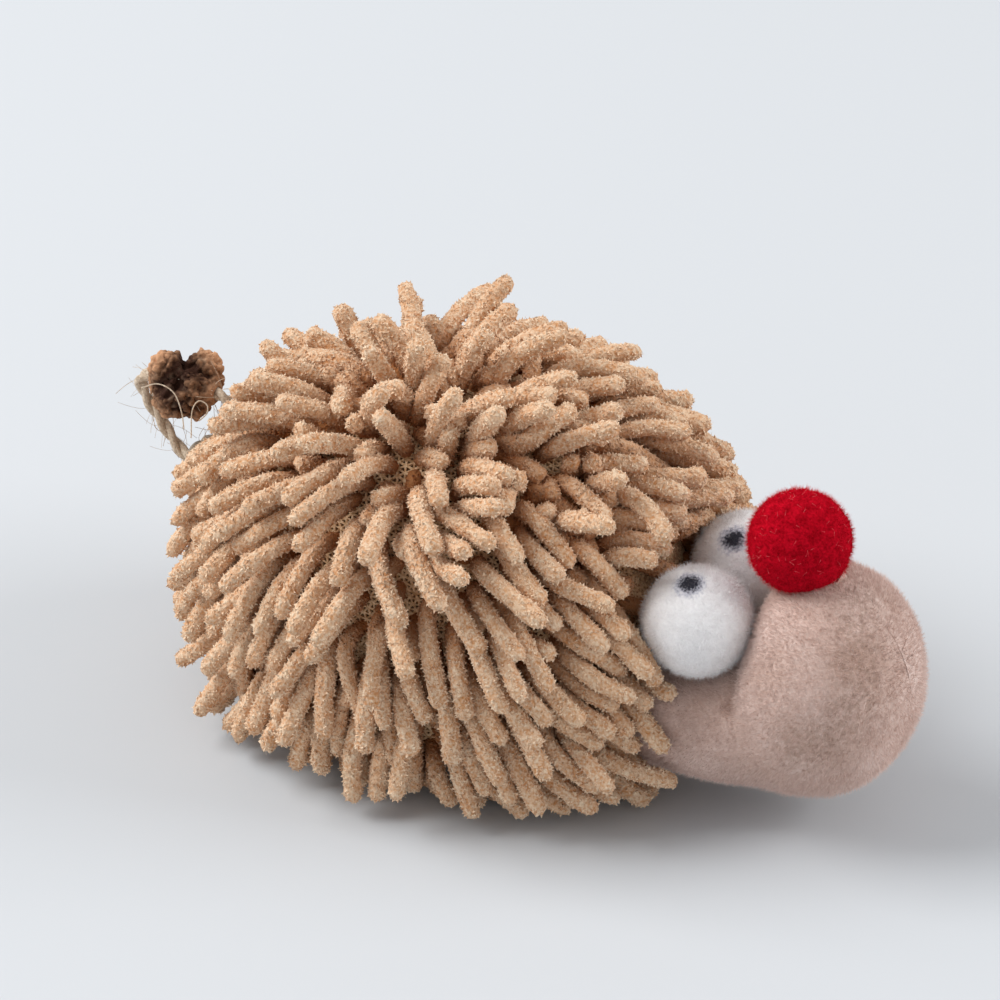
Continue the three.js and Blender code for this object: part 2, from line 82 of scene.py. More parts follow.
def pixels_of(places):
    """Pixels of the photograph at which places of the toy show."""
    off = places - aim
    scale = pixels_per_mm * camera_distance / (camera_distance - off @ to_camera)
    return image_side / 2 + np.stack([off @ image_right, -(off @ image_up)], axis=1) * scale[:, None]


def pixel_ray(x, y):
    """Start and direction of the line of sight through a pixel of the photograph."""
    across = (x - image_side / 2) / (pixels_per_mm * camera_distance)
    upward = (image_side / 2 - y) / (pixels_per_mm * camera_distance)
    direction = -to_camera + across * image_right + upward * image_up
    return aim + to_camera * camera_distance, direction / np.linalg.norm(direction)


# %% [markdown]
# ## Tools for modelling
# Every operator works on what is selected, so each step starts by deselecting all. Points are read and
# written in millimetres, and edges and faces are picked in code by their place.

# %% Selecting, picking and moving points
def deselect():
    if bpy.context.mode != "OBJECT":
        bpy.ops.object.mode_set(mode="OBJECT")
    bpy.ops.object.select_all(action="DESELECT")


def take(*pieces):
    deselect()
    for piece in pieces:
        piece.select_set(True)
    bpy.context.view_layer.objects.active = pieces[0]


def named(name):
    piece = bpy.context.active_object
    piece.name = piece.data.name = name
    return piece


def even_ball(name, subdivisions):
    """A ball of even triangles and 1 mm radius, whose points are then sent out to a formula."""
    deselect()
    bpy.ops.mesh.primitive_ico_sphere_add(subdivisions=subdivisions, radius=MM)
    return named(name)


def points(piece):
    found = np.zeros(3 * len(piece.data.vertices), np.float32)
    piece.data.vertices.foreach_get("co", found)
    return found.reshape(-1, 3).astype(float) / MM


def normals(piece):
    found = np.zeros(3 * len(piece.data.vertices), np.float32)
    piece.data.vertex_normals.foreach_get("vector", found)
    return found.reshape(-1, 3).astype(float)


def move(piece, places):
    piece.data.vertices.foreach_set("co", (places * MM).astype(np.float32).ravel())
    piece.data.update()


def sort_by_place(piece):
    """Sorts points and faces by place, because bevel leaves them in an order that varies from run to run."""
    places = points(piece).round(4)
    order = np.lexsort(places.T)
    rank = np.argsort(order).tolist()
    faces = []
    for face in piece.data.polygons:
        corners = [rank[vertex] for vertex in face.vertices]
        first = corners.index(min(corners))
        faces.append(corners[first:] + corners[:first])
    piece.data.clear_geometry()
    piece.data.from_pydata((places[order] * MM).tolist(), [], sorted(faces))


def pick(piece, kind, test):
    """In edit mode, selects the VERT, EDGE or FACE elements that pass a test of their corners in mm."""
    bpy.ops.mesh.select_mode(type=kind)
    bpy.ops.mesh.select_all(action="DESELECT")
    shape = bmesh.from_edit_mesh(piece.data)
    elements = {"VERT": shape.verts, "EDGE": shape.edges, "FACE": shape.faces}[kind]
    for element in elements:
        corners = [element] if kind == "VERT" else element.verts
        if test(np.array([corner.co for corner in corners]) / MM):
            element.select_set(True)
    shape.select_flush_mode()
    bmesh.update_edit_mesh(piece.data)


def modify(piece, kind, **settings):
    """Adds a modifier, sets it and applies it."""
    take(piece)
    bpy.ops.object.modifier_add(type=kind)
    modifier = piece.modifiers[-1]
    for key, value in settings.items():
        setattr(modifier, key, value)
    bpy.ops.object.modifier_apply(modifier=modifier.name)


def record_attribute(piece, name, values):
    attribute = piece.data.attributes.new(name, "FLOAT", "POINT")
    attribute.data.foreach_set("value", np.asarray(values, np.float32))


def finish_piece(piece, material, body, slot, *nodes):
    """Gives a finished piece its material, its body and the solids that it stands for. Its slot is not used.
    """
    piece.data.materials.clear()
    piece.data.materials.append(material)
    take(piece)
    bpy.ops.object.shade_smooth_by_angle(angle=math.radians(55))
    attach(piece, body)
    if nodes:
        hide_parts(*nodes)
    print(piece.name, "has", sum(len(face.vertices) - 2 for face in piece.data.polygons), "triangles")
    return piece


# %% [markdown]
# ## Tools for materials
# A material is a graph of nodes. A small class wraps each output, so that sums and products of values read
# as plain maths, and one method adds every other node. Colours are mixed by Mix nodes. Many finishes are
# one noise between a deep and a pale colour, which roughens the surface too, so a function makes those.

# %% Material graph
class Value:
    """An output socket of a material's node, with arithmetic."""

    def __init__(self, finish, socket):
        self.finish, self.socket = finish, socket

    def maths(self, operation, first, second):
        return self.finish.add("ShaderNodeMath", {"operation": operation}, {0: first, 1: second})

    def __add__(self, other):
        return self.maths("ADD", self, other)

    def __sub__(self, other):
        return self.maths("SUBTRACT", self, other)

    def __rsub__(self, other):
        return self.maths("SUBTRACT", other, self)

    def __mul__(self, other):
        return self.maths("MULTIPLY", self, other)

    def __truediv__(self, other):
        return self.maths("DIVIDE", self, other)

    __radd__, __rmul__ = __add__, __mul__

    def fade(self, low, high):
        """0 below low, 1 above high, and smooth between."""
        limits = {"Value": self, "From Min": low, "From Max": high}
        return self.finish.add("ShaderNodeMapRange", {"interpolation_type": "SMOOTHSTEP"}, limits)


class Finish:
    """A material under construction: a Principled shader and what feeds it."""

    def __init__(self, name, roughness=0.9, sheen=0.0, coat=0.0, gloss=0.12):
        self.material = bpy.data.materials.new(name)
        self.material.use_nodes = True
        self.tree = self.material.node_tree
        self.shader = self.tree.nodes["Principled BSDF"]
        self.shader.inputs["Roughness"].default_value = roughness
        self.shader.inputs["Sheen Weight"].default_value = sheen
        self.shader.inputs["Sheen Roughness"].default_value = 0.5
        self.shader.inputs["Coat Weight"].default_value = coat
        self.shader.inputs["Specular IOR Level"].default_value = gloss
        self.place = self.add("ShaderNodeTexCoord", {}, {}, "Object")

    def add(self, kind, settings, inputs, output=0):
        node = self.tree.nodes.new(kind)
        for key, value in settings.items():
            setattr(node, key, value)
        for key, value in inputs.items():
            if isinstance(value, Value):
                self.tree.links.new(value.socket, node.inputs[key])
            else:
                node.inputs[key].default_value = value
        return Value(self, node.outputs[output])

    def attribute(self, name):
        return self.add("ShaderNodeAttribute", {"attribute_name": name}, {}, "Fac")

    def noise(self, size_mm, detail=2.0, vector=None):
        inputs = {"Vector": vector or self.place, "Scale": 1 / (size_mm * MM), "Detail": detail}
        return self.add("ShaderNodeTexNoise", {}, inputs, "Fac")

    def mix(self, share, first, second):
        first, second = [(*c, 1.0) if isinstance(c, tuple) and len(c) == 3 else c for c in (first, second)]
        return self.add("ShaderNodeMix", {"data_type": "RGBA"}, {0: share, 6: first, 7: second}, 2)

    def near(self, place_mm):
        """Distance in millimetres from a place on the toy."""
        place = tuple(x * MM for x in place_mm)
        settings = {"operation": "DISTANCE"}
        return self.add("ShaderNodeVectorMath", settings, {0: self.place, 1: place}, "Value") / MM

    def colour(self, colour):
        self.tree.links.new(colour.socket, self.shader.inputs["Base Color"])

    def bump(self, height, depth_mm):
        """Links the height as a bump and returns the finished material."""
        inputs = {"Height": height, "Distance": depth_mm * MM, "Strength": 1.0}
        bumped = self.add("ShaderNodeBump", {}, inputs)
        self.tree.links.new(bumped.socket, self.shader.inputs["Normal"])
        return self.material


def grained(name, size_mm, detail, deep, pale, depth_mm, low=0.3, high=0.7, **surface):
    """A material of one noise, deep below low and pale above high, with a bump of the same grain."""
    finish = Finish(name, **surface)
    grain = finish.noise(size_mm, detail)
    finish.colour(finish.mix(grain.fade(low, high), deep, pale))
    return finish.bump(grain, depth_mm)


# %% [markdown]
# ## Twine tail
# The tail is one length of two-ply jute twine. It leaves the rear seam, passes through the gall fruit and
# goes back in, with both legs knotted together. A smooth curve follows its route, and the two plies wind
# round that curve. A curve object with a round bevel is the simplest way to a strand of even thickness.

# %% Route of the tail
tail_pivot = np.array([-28.4, 0, 26.9])
tail_route = tail_pivot + np.array([
    [-0.8, 0, -0.4], [-3.4, 0, -1.05], [-7.5, -0.8, -0.65], [-11.2, -1.1, 0], [-14.4, -1.1, 0.3],
    [-17.4, -0.9, 2], [-21.2, -0.4, 6.2], [-24, 0, 9.8], [-24.3, 0, 11.6], [-23.3, 0, 12.5], [-21.8, 0, 12.6],
    [-19.4, 0, 12.6], [-14.2, 0, 12.6], [-11.8, 0, 12.6], [-10.4, 0, 12.3], [-9.5, 0.1, 11], [-9.9, 0.3, 8.6],
    [-11.2, 0.6, 6.4], [-12.8, 0.8, 4.4], [-14.8, 1, 2.6], [-15.6, 1.1, 1.2], [-14.9, 1.1, 0],
    [-13.4, 1.1, -0.3], [-11.2, 1.1, 0], [-7.5, 0.8, 0.65], [-3.4, 0, 1.05], [-0.8, 0, 0.4],
])
print("corners of the route:", len(tail_route))

# %% Curves through points
def smooth(corners):
    """A centripetal Catmull-Rom curve through the corners, with 10 points to a span."""
    corners = np.array(corners, float)
    ends = np.vstack([2 * corners[0] - corners[1], corners, 2 * corners[-1] - corners[-2]])
    found = []
    for a, b, c, d in zip(ends, ends[1:], ends[2:], ends[3:]):
        t1 = np.linalg.norm(b - a) ** 0.5
        t2 = t1 + np.linalg.norm(c - b) ** 0.5
        t3 = t2 + np.linalg.norm(d - c) ** 0.5
        t = np.linspace(t1, t2, 10, endpoint=False)[:, None]
        p, q, r = a + (b - a) * t / t1, b + (c - b) * (t - t1) / (t2 - t1), c + (d - c) * (t - t2) / (t3 - t2)
        u, v = p + (q - p) * t / t2, q + (r - q) * (t - t1) / (t3 - t1)
        found.append(u + (v - u) * (t - t1) / (t2 - t1))
    return np.vstack([*found, corners[-1:]])


def run_along(route):
    """Length run at each point of a route."""
    return np.concatenate([[0], np.cumsum(np.linalg.norm(np.diff(route, axis=0), axis=1))])


def even(route, step):
    """The route again, with a point every step."""
    run = run_along(route)
    stops = np.linspace(0, run[-1], max(2, round(run[-1] / step) + 1))
    return np.stack([np.interp(stops, run, route[:, i]) for i in range(3)], axis=1)


def unit(vectors):
    return vectors / np.maximum(np.linalg.norm(vectors, axis=-1, keepdims=True), 1e-9)


def beside(route):
    """Two directions square to the route at each point, carried along without twist."""
    along = unit(np.gradient(route, axis=0))
    first = np.cross(along[0], [0.3, 0.2, 1.0])
    side = []
    for direction in along:
        first = unit(first - direction * (first @ direction))
        side.append(first)
    side = np.array(side)
    return side, np.cross(along, side)


# %% Strands and twine
twine_radius = 0.85
ply_radius, ply_offset, ply_pitch, ply_step = 0.57, 0.42, 7.5, 0.45


def strand(name, route, radius, resolution):
    """A closed round tube along a route, made by a bevelled curve."""
    curve = bpy.data.curves.new(name, "CURVE")
    curve.dimensions = "3D"
    curve.bevel_depth, curve.bevel_resolution, curve.use_fill_caps = radius * MM, resolution, True
    spline = curve.splines.new("POLY")
    spline.points.add(len(route) - 1)
    corners = np.hstack([route * MM, np.ones((len(route), 1))])
    spline.points.foreach_set("co", corners.ravel())
    piece = bpy.data.objects.new(name, curve)
    scene.collection.objects.link(piece)
    take(piece)
    bpy.ops.object.convert(target="MESH")
    return bpy.context.active_object


def twine(name, route, pitch=ply_pitch, scale=1.0):
    """Two plies wound round a route, as one piece."""
    route = even(route, ply_step)
    side, other = beside(route)
    turn = 2 * np.pi * run_along(route)[:, None] / pitch
    plies = []
    for phase in (0, np.pi):
        wound = route + scale * ply_offset * (np.cos(turn + phase) * side + np.sin(turn + phase) * other)
        plies.append(strand(name, wound, scale * ply_radius, 3))
    take(*plies)
    bpy.ops.object.join()
    return named(name)


# %% [markdown]
# Jute is hairy and streaky: fibres run along each ply in slightly different tans. Streaks are noise that is
# stretched along the strand, which a small Mapping on the place gives well enough on so thin a piece.

# %% Jute
def jute(name, pale, dark):
    finish = Finish(name, roughness=0.85, sheen=0.2)
    stretched = finish.add("ShaderNodeMapping", {}, {"Vector": finish.place, "Scale": (1.0, 3.0, 1.4)})
    streaks = finish.noise(0.5, 4.0, stretched)
    patches = finish.noise(4.0, 1.0)
    finish.colour(finish.mix((streaks * 0.75 + patches * 0.35).fade(0.3, 0.75), dark, pale))
    return finish.bump(streaks, 0.15)


jute_pale = jute("jute_pale", (0.8, 0.67, 0.52), (0.42, 0.31, 0.21))
jute_grey = jute("jute_knot", (0.5, 0.42, 0.33), (0.2, 0.15, 0.1))

# %% [markdown]
# The knot that gathers both legs is two and a half wraps of the same twine. The one behind the seam, out of
# sight, keeps the tail in the body.

# %% Twine, knots and loose fibres
centreline = even(smooth(tail_route), 1.0)
tail_twine = twine("tail_twine_plies", smooth(tail_route))


def wraps(centre, radii, turns, spread, lean):
    """Route of a few turns round the X axis, leaning to cross each other."""
    turn = np.linspace(0, 2 * np.pi * turns, round(24 * turns))
    along = spread * (turn / turn[-1] - 0.5) + lean * np.sin(turn)
    return centre + np.stack([along, radii[0] * np.cos(turn), radii[1] * np.sin(turn)], axis=1)


end_knot = twine("end_knot", wraps(tail_pivot, (1.1, 1.1), 2, 1.6, 0.3), scale=0.9)
take(tail_twine, end_knot)
bpy.ops.object.join()
knot_centre = tail_pivot + np.array([-14.9, 0, 0.7])
tail_knot = twine("tail_knot_wraps", wraps(knot_centre, (2.15, 1.7), 2.6, 2.4, 0.55), scale=0.85)

fruit_centre = tail_pivot + np.array([-16.8, 0, 12.6])


def before_fruit(x, y):
    """Place that shows at a pixel, on a plane just before the fruit."""
    start, direction = pixel_ray(x, y)
    return start + direction * ((fruit_centre - start) @ to_camera + 6.2) / (direction @ to_camera)


fibres, loose_fibres, bare_run = [], 170, 16
route_side, route_other = beside(centreline)
for _ in range(loose_fibres):
    start = rng.integers(bare_run, len(centreline) - bare_run)
    turn = rng.uniform(0, 2 * np.pi)
    outward = np.cos(turn) * route_side[start] + np.sin(turn) * route_other[start]
    lengthwise = unit(centreline[start + 1] - centreline[start]) * rng.choice([-1, 1])
    reach = rng.uniform(0.6, 2.6)
    stops = np.linspace(0, 1, 7)[:, None]
    bend = unit(rng.normal(size=3)) * reach * 0.5
    hair = centreline[start] + outward * (0.6 + reach * stops)
    hair = hair + lengthwise * reach * stops ** 2 + bend * stops ** 2
    fibres.append(strand("fibre", hair, rng.uniform(0.02, 0.045), 0))
for pixels in (
    [(141, 388), (158, 384), (173, 392), (181, 410), (184, 429)],
    [(191, 438), (193, 408), (199, 401), (207, 405), (207, 413), (199, 421)],
):
    fibres.append(strand("fibre", smooth([before_fruit(x, y) for x, y in pixels]), 0.09, 1))
take(*fibres)
bpy.ops.object.join()
tail_fibres = named("tail_loose_fibres")

finish_piece(tail_twine, jute_pale, "tail", "jute_twine", "tail_twine")
finish_piece(tail_knot, jute_grey, "tail", "jute_twine", "tail_knot")
finish_piece(tail_fibres, jute_pale, "tail", "jute_twine")

# %% [markdown]
# ## Gall fruit
# Dried galls shrink into lobes and deep folds, like a walnut. A ball with its poles on the bore is opened
# at both poles and bridged, so that the twine's hole is part of the mesh. Its skin is sent out to a few
# lobes that melt together, and Displace modifiers fold and crust it. A vertex group spares the bore.

# %% Gall fruit
fruit_radius, bore_radius = 5.5, 1.25


def cloud(name, kind, size_mm, **settings):
    texture = bpy.data.textures.new(name, kind)
    texture.noise_scale = size_mm * MM
    for key, value in settings.items():
        setattr(texture, key, value)
    return texture


deselect()
bpy.ops.mesh.primitive_uv_sphere_add(segments=150, ring_count=96, radius=fruit_radius * MM)
fruit = named("gall_fruit_skin")
move(fruit, points(fruit)[:, [2, 0, 1]])
take(fruit)
bpy.ops.object.mode_set(mode="EDIT")
pick(fruit, "FACE", lambda corners: np.hypot(*corners.mean(axis=0)[1:]) < bore_radius * 0.9)
bpy.ops.mesh.delete(type="FACE")
bpy.ops.mesh.select_mode(type="EDGE")
bpy.ops.mesh.select_all(action="DESELECT")
bpy.ops.mesh.select_non_manifold()
bpy.ops.mesh.bridge_edge_loops(number_cuts=14)
bpy.ops.mesh.select_all(action="SELECT")
bpy.ops.mesh.normals_make_consistent(inside=False)
bpy.ops.object.mode_set(mode="OBJECT")
print("faces of the opened ball:", len(fruit.data.polygons))

# %% Lobes and folds
from_bore = np.hypot(*points(fruit)[:, 1:].T)
share = np.clip((from_bore - bore_radius * 1.1) / 1.6, 0, 1)
skin = fruit.vertex_groups.new(name="skin")
for vertex, weight in enumerate(share):
    skin.add([vertex], float(weight), "REPLACE")
share = share[:, None]
directions = unit(points(fruit))
lobes = [((-2.6, 2.3, 0.6), 3.0), ((2.7, 2.2, 0.0), 3.1), ((0.6, -0.6, 1.9), 3.2), ((-1.6, -1.9, -0.4), 3.3),
         ((1.4, -2.4, 0.2), 2.9), ((0.2, 0.3, -2.4), 3.1), ((-2.9, 0.2, -1.2), 2.6), ((2.9, -0.3, -1.3), 2.7)]
reach = np.zeros(len(directions))
for (rightward, upward, nearer), radius in lobes:
    middle = rightward * image_right + upward * image_up + nearer * to_camera
    run = directions @ middle
    off = np.maximum(0, radius ** 2 - (middle @ middle - run ** 2))
    reach = np.maximum(reach, np.where(off > 0, run + np.sqrt(off), 0))
dent = -1.0 * image_right - 0.1 * image_up + 5.0 * to_camera
reach = np.maximum(reach, 2.6) - 1.8 * np.exp(-(np.linalg.norm(directions * 5.0 - dent, axis=1) / 1.3) ** 2)
move(fruit, points(fruit) * (1 - share) + directions * reach[:, None] * share)
modify(fruit, "SMOOTH", factor=0.5, iterations=2, vertex_group="skin")
for texture, depth in (
    (cloud("folds", "VORONOI", 1.9, weight_1=-1.0, weight_2=1.0), 1.9),
    (cloud("wrinkles", "CLOUDS", 0.8, noise_depth=1), 1.1),
):
    modify(fruit, "DISPLACE", texture=texture, strength=depth * MM, mid_level=0.4,
           texture_coords="LOCAL", vertex_group="skin")
fruit_points = points(fruit)
record_attribute(fruit, "rise", np.linalg.norm(fruit_points, axis=1) / fruit_radius)
move(fruit, fruit_points + fruit_centre)

# %% Gall skin
finish = Finish("gall_skin", roughness=0.75)
rise = finish.attribute("rise")
crust = finish.noise(0.7, 4.0)
# Painted shade: the skin is painted near black in the folds, darker the deeper they lie, and its own brown on
# the ridges.
ridges = (rise + crust * 0.4).fade(0.9, 1.4)
brown = finish.mix(ridges, (0.04, 0.015, 0.008), (0.66, 0.36, 0.2))
finish.colour(finish.mix(finish.noise(2.4).fade(0.55, 0.72) * 0.4, brown, (0.36, 0.25, 0.17)))
finish_piece(fruit, finish.bump(crust, 0.25), "fruit", "gall_skin", "gall_fruit")

# %% [markdown]
# ## Shapes of the body and the head
# Both are given by formulas. The body is an egg on its side, fuller below the middle. The head is a round
# muzzle that melts into a lower neck, with a valley for the eyes. The formulas place every hair and noodle.

# %% Formula of the body
body_halves = np.array([32.4, 26, 26])
body_sag, rest_depth = 25.2, 0.5
body_centre = np.array([0, 0, body_sag - rest_depth])
back_roundness, belly_roundness, panel_share = 2.0, 3.5, 0.74
panel_fall = (1 - panel_share ** belly_roundness) ** (1 / belly_roundness)
muzzle_halves, muzzle_centre = np.array([13.5, 14.5, 16.2]), body_centre + [55.6, 0, -3.3]
neck_halves, neck_centre = np.array([20, 15, 11]), body_centre + [38, 0, -10]
head_blend, head_centre = 2.0, (muzzle_centre + neck_centre) / 2
eye_radius, eye_sink, nose_radius, seam_gap = 7.7, 0.8, 7.2, 0.3
eye_centres = {side: body_centre + [40.2, side * (eye_radius + seam_gap / 2), 5.5] for side in (1, -1)}
nose_centre = body_centre + [51.3, 0, 17.1]


def body_point(directions, inset=0.0):
    low = directions[:, 2] < 0
    power = np.where(low, belly_roundness, back_roundness)
    level = np.hypot(directions[:, 0], directions[:, 1])
    reach = (level ** power + np.abs(directions[:, 2]) ** power) ** (-1 / power)
    halves = np.tile(body_halves, (len(directions), 1)).astype(float)
    halves[low, 2] = body_sag
    return body_centre + (halves - inset) * directions * reach[:, None]


def body_normal(places):
    x, y, z = (places - body_centre).T
    low = z < 0
    drop, power = np.where(low, body_sag, body_halves[2]), np.where(low, belly_roundness, back_roundness)
    level = np.maximum(np.hypot(x / body_halves[0], y / body_halves[1]), 1e-6) ** (power - 2)
    fall = np.abs(z / drop) ** (power - 1) * np.sign(z) / drop
    return unit(np.stack([level * x / body_halves[0] ** 2, level * y / body_halves[1] ** 2, fall], axis=1))


def body_level(places):
    """1 on the body's skin, less inside it."""
    x, y, z = (places - body_centre).T
    drop, power = np.where(z < 0, body_sag, body_halves[2]), np.where(z < 0, belly_roundness, back_roundness)
    return np.hypot(x / body_halves[0], y / body_halves[1]) ** power + np.abs(z / drop) ** power


# %% Formula of the head
def head_distance(places):
    muzzle = (np.linalg.norm((places - muzzle_centre) / muzzle_halves, axis=1) - 1) * muzzle_halves[0]
    neck = (np.linalg.norm((places - neck_centre) / neck_halves, axis=1) - 1) * neck_halves[2]
    lobes = -head_blend * np.log(np.exp(-muzzle / head_blend) + np.exp(-neck / head_blend))
    beside_eyes = np.maximum(0, np.abs(places[:, 1]) - abs(eye_centres[1][1]))
    eyes = np.stack([places[:, 0] - eye_centres[1][0], beside_eyes, places[:, 2] - eye_centres[1][2]], axis=1)
    valley = eye_radius - eye_sink - np.linalg.norm(eyes, axis=1)
    return head_blend * np.log(np.exp(lobes / head_blend) + np.exp(valley / head_blend))


def head_normal(places):
    step = 0.2
    return unit(np.stack([
        head_distance(places + step * axis) - head_distance(places - step * axis) for axis in np.eye(3)
    ], axis=1))


def head_point(directions, inset=0.0):
    near, far = np.zeros(len(directions)), np.full(len(directions), 70.0)
    for _ in range(32):
        middle = (near + far) / 2
        inside = head_distance(head_centre + directions * middle[:, None]) < -inset
        near, far = np.where(inside, middle, near), np.where(inside, far, middle)
    return head_centre + directions * near[:, None]


# %% [markdown]
# ## Pile
# Plush and pompoms are covered in short hairs, which show at their outline. One hair is a slim cone of
# three sides. It is modelled once and copied to many places, all in one mesh, each copy leaning and sized a
# little differently. The surface below is roughened as well, so that the hairs needn't be dense.

# %% Pile
deselect()
bpy.ops.mesh.primitive_cone_add(vertices=3, radius1=MM, radius2=0, depth=MM, location=(0, 0, MM / 2))
hair = named("hair")
bpy.ops.object.transform_apply(location=True)
hair_points = points(hair)
hair_faces = [list(face.vertices) for face in hair.data.polygons if face.normal.z > -0.9]
bpy.data.objects.remove(hair)


def grow_pile(name, roots, directions, lengths, radius):
    """One mesh of many hairs, from their roots in mm along their directions."""
    side = unit(np.cross(directions, rng.normal(size=directions.shape)))
    other = np.cross(directions, side)
    slim = hair_points[None, :, :2] * radius
    tall = hair_points[None, :, 2:] * lengths[:, None, None]
    places = roots[:, None] + slim[..., :1] * side[:, None] + slim[..., 1:] * other[:, None]
    places = places + tall * directions[:, None]
    firsts = range(0, len(roots) * len(hair_points), len(hair_points))
    faces = [[first + corner for corner in face] for first in firsts for face in hair_faces]
    mesh = bpy.data.meshes.new(name)
    mesh.from_pydata((places.reshape(-1, 3) * MM).tolist(), [], faces)
    piece = bpy.data.objects.new(name, mesh)
    scene.collection.objects.link(piece)
    return piece


def clumps(places, size, seed=0.0):
    """Smooth noise from -1 to 1 at each place."""
    offset = Vector((seed, seed * 1.7, -seed))
    return np.array([noise.noise(Vector(place / size) + offset) for place in places])


def scatter(piece, count):
    """Random places all over a mesh, and the directions outwards there."""
    piece.data.calc_loop_triangles()
    corners = np.zeros(3 * len(piece.data.loop_triangles), np.int32)
    piece.data.loop_triangles.foreach_get("vertices", corners)
    corners = corners.reshape(-1, 3)
    skin, outward = points(piece)[corners], normals(piece)[corners]
    areas = np.linalg.norm(np.cross(skin[:, 1] - skin[:, 0], skin[:, 2] - skin[:, 0]), axis=1)
    chosen = rng.choice(len(corners), count, p=areas / areas.sum())
    share = rng.dirichlet((1, 1, 1), count)[:, :, None]
    return (skin[chosen] * share).sum(axis=1), unit((outward[chosen] * share).sum(axis=1))


# %% [markdown]
# ## Plush head
# Two panels of short pale plush meet in the middle of the face. Each panel starts as half of an even ball,
# whose points are sent out to the head's formula. Its pile is clumpy grain plus hairs that lie back from
# the snout. What would sit inside the body is cut off, and Solidify gives the cloth its thickness.

# %% Head plush
def on_head(x, y):
    """Place on the head's skin that the photograph shows at a pixel."""
    start, direction = pixel_ray(x, y)
    run = camera_distance - 60.0
    for _ in range(200):
        gap = head_distance((start + direction * run)[None])[0]
        run += 0.6 * gap
    return start + direction * run


def line_on_head(*pixels):
    return even(np.array([on_head(x, y) for x, y in pixels]), 0.5)


def from_line(places, line):
    return np.min(np.linalg.norm(places[:, None] - line[None], axis=2), axis=1)


crease_line = line_on_head((750, 640), (740, 662), (732, 688), (728, 708))
# A band down the right of the snout where the light grazes the plush. The plush is painted browner there as
# painted shade.
shade_band_line = line_on_head((848, 592), (858, 640), (862, 690), (840, 730), (800, 752))


def head_flow(places, outward):
    """Direction along the skin in which the pile lies, back from the snout."""
    flow = unit(places - muzzle_centre - [30, 0, 8])
    return unit(flow - outward * np.sum(flow * outward, axis=1, keepdims=True))


# Share of the painted shade band at each place, fading away from its line.
def shade_band_share(places):
    return np.exp(-(from_line(places, shade_band_line) / 4.0) ** 2)


# %% Head panels
def head_panel(side):
    panel = even_ball("head_plush_left" if side > 0 else "head_plush_right", 7)
    take(panel)
    bpy.ops.object.mode_set(mode="EDIT")
    bpy.ops.mesh.select_all(action="SELECT")
    bpy.ops.mesh.bisect(plane_co=(0, 0, 0), plane_no=(0, side, 0), clear_inner=True)
    bpy.ops.object.mode_set(mode="OBJECT")
    directions = unit(points(panel))
    skin = head_point(directions)
    outward = head_normal(skin)
    crease = from_line(skin, crease_line)
    rough = rng.uniform(-0.05, 0.05, len(skin)) * np.clip(np.abs(skin[:, 1]) / 1.5, 0, 1)
    rough += 0.3 * clumps(skin, 7.0) + 0.08 * clumps(skin, 1.4, 5.0)
    skin = skin + outward * (rough - 1.0 * np.exp(-(crease / 1.4) ** 2))[:, None]
    # The pile value is lower in the pits and along the crease, where the plush is painted deeper as painted
    # shade.
    record_attribute(panel, "pile", 0.5 + rough - 0.35 * np.exp(-(crease / 1.2) ** 2))
    record_attribute(panel, "shade_band", shade_band_share(skin))
    skin[:, 1] = side * np.maximum(side * skin[:, 1], 0.01)
    move(panel, skin)
    inside = body_level(skin) < 0.93
    take(panel)
    bpy.ops.object.mode_set(mode="EDIT")
    shape = bmesh.from_edit_mesh(panel.data)
    shape.verts.ensure_lookup_table()
    bmesh.ops.delete(shape, geom=[shape.verts[i] for i in np.flatnonzero(inside)], context="VERTS")
    bmesh.update_edit_mesh(panel.data)
    bpy.ops.object.mode_set(mode="OBJECT")
    return panel


# %% Plush and pile of the head
finish = Finish("head_plush", roughness=0.95, sheen=0.3)
grain = finish.noise(0.45, 3.0)
patches = finish.noise(5.0, 2.0)
height = finish.attribute("pile")
# Deeper where the pile value is low, at the hairs' roots, in the pits and in the crease: painted shade, with
# random tone from the grain.
pale = finish.mix((grain * 0.4 + height * 0.8).fade(0.3, 0.9), (0.56, 0.375, 0.3), (0.82, 0.65, 0.585))
pale = finish.mix(patches.fade(0.4, 0.7) * 0.3, pale, (0.69, 0.5, 0.43))
# Painted shade: a browner band along the shade band line, broken up by noise.
bare = finish.attribute("shade_band") * finish.noise(0.7, 4.0).fade(0.38, 0.62)
finish.colour(finish.mix(bare * 0.6, pale, (0.47, 0.32, 0.25)))
head_plush = finish.bump(grain, 0.2)
hairs_on_panel = 42000
for side, name in ((1, "left"), (-1, "right")):
    panel = head_panel(side)
    places, outward = scatter(panel, hairs_on_panel)
    modify(panel, "SOLIDIFY", thickness=1.3 * MM, offset=-1)
    lean = outward + 0.7 * head_flow(places, outward) + rng.normal(scale=0.35, size=places.shape)
    pile = grow_pile(panel.name + "_pile", places - 0.15 * outward, unit(lean),
                     rng.uniform(0.6, 1.35, len(places)), 0.04)
    # The hairs' roots get a lower pile value than their tips, for the painted shade at the roots.
    record_attribute(pile, "pile", np.tile(hair_points[:, 2], len(places)) * 0.4 + 0.5)
    record_attribute(pile, "shade_band", np.repeat(shade_band_share(places), len(hair_points)))
    finish_piece(panel, head_plush, "toy", "head_plush", "head_panel_" + name)
    finish_piece(pile, head_plush, "toy", "head_plush")

# %% [markdown]
# ## Pompoms
# Two white pompoms are the eyes and a red one is the nose. Each is a ball of trimmed fibres, pressed flat
# where it is glued on. Its skin is roughened at random and covered in fine hairs. An ink dot, darker in the
# middle and bleeding into the fibres at its edge, makes each pupil.

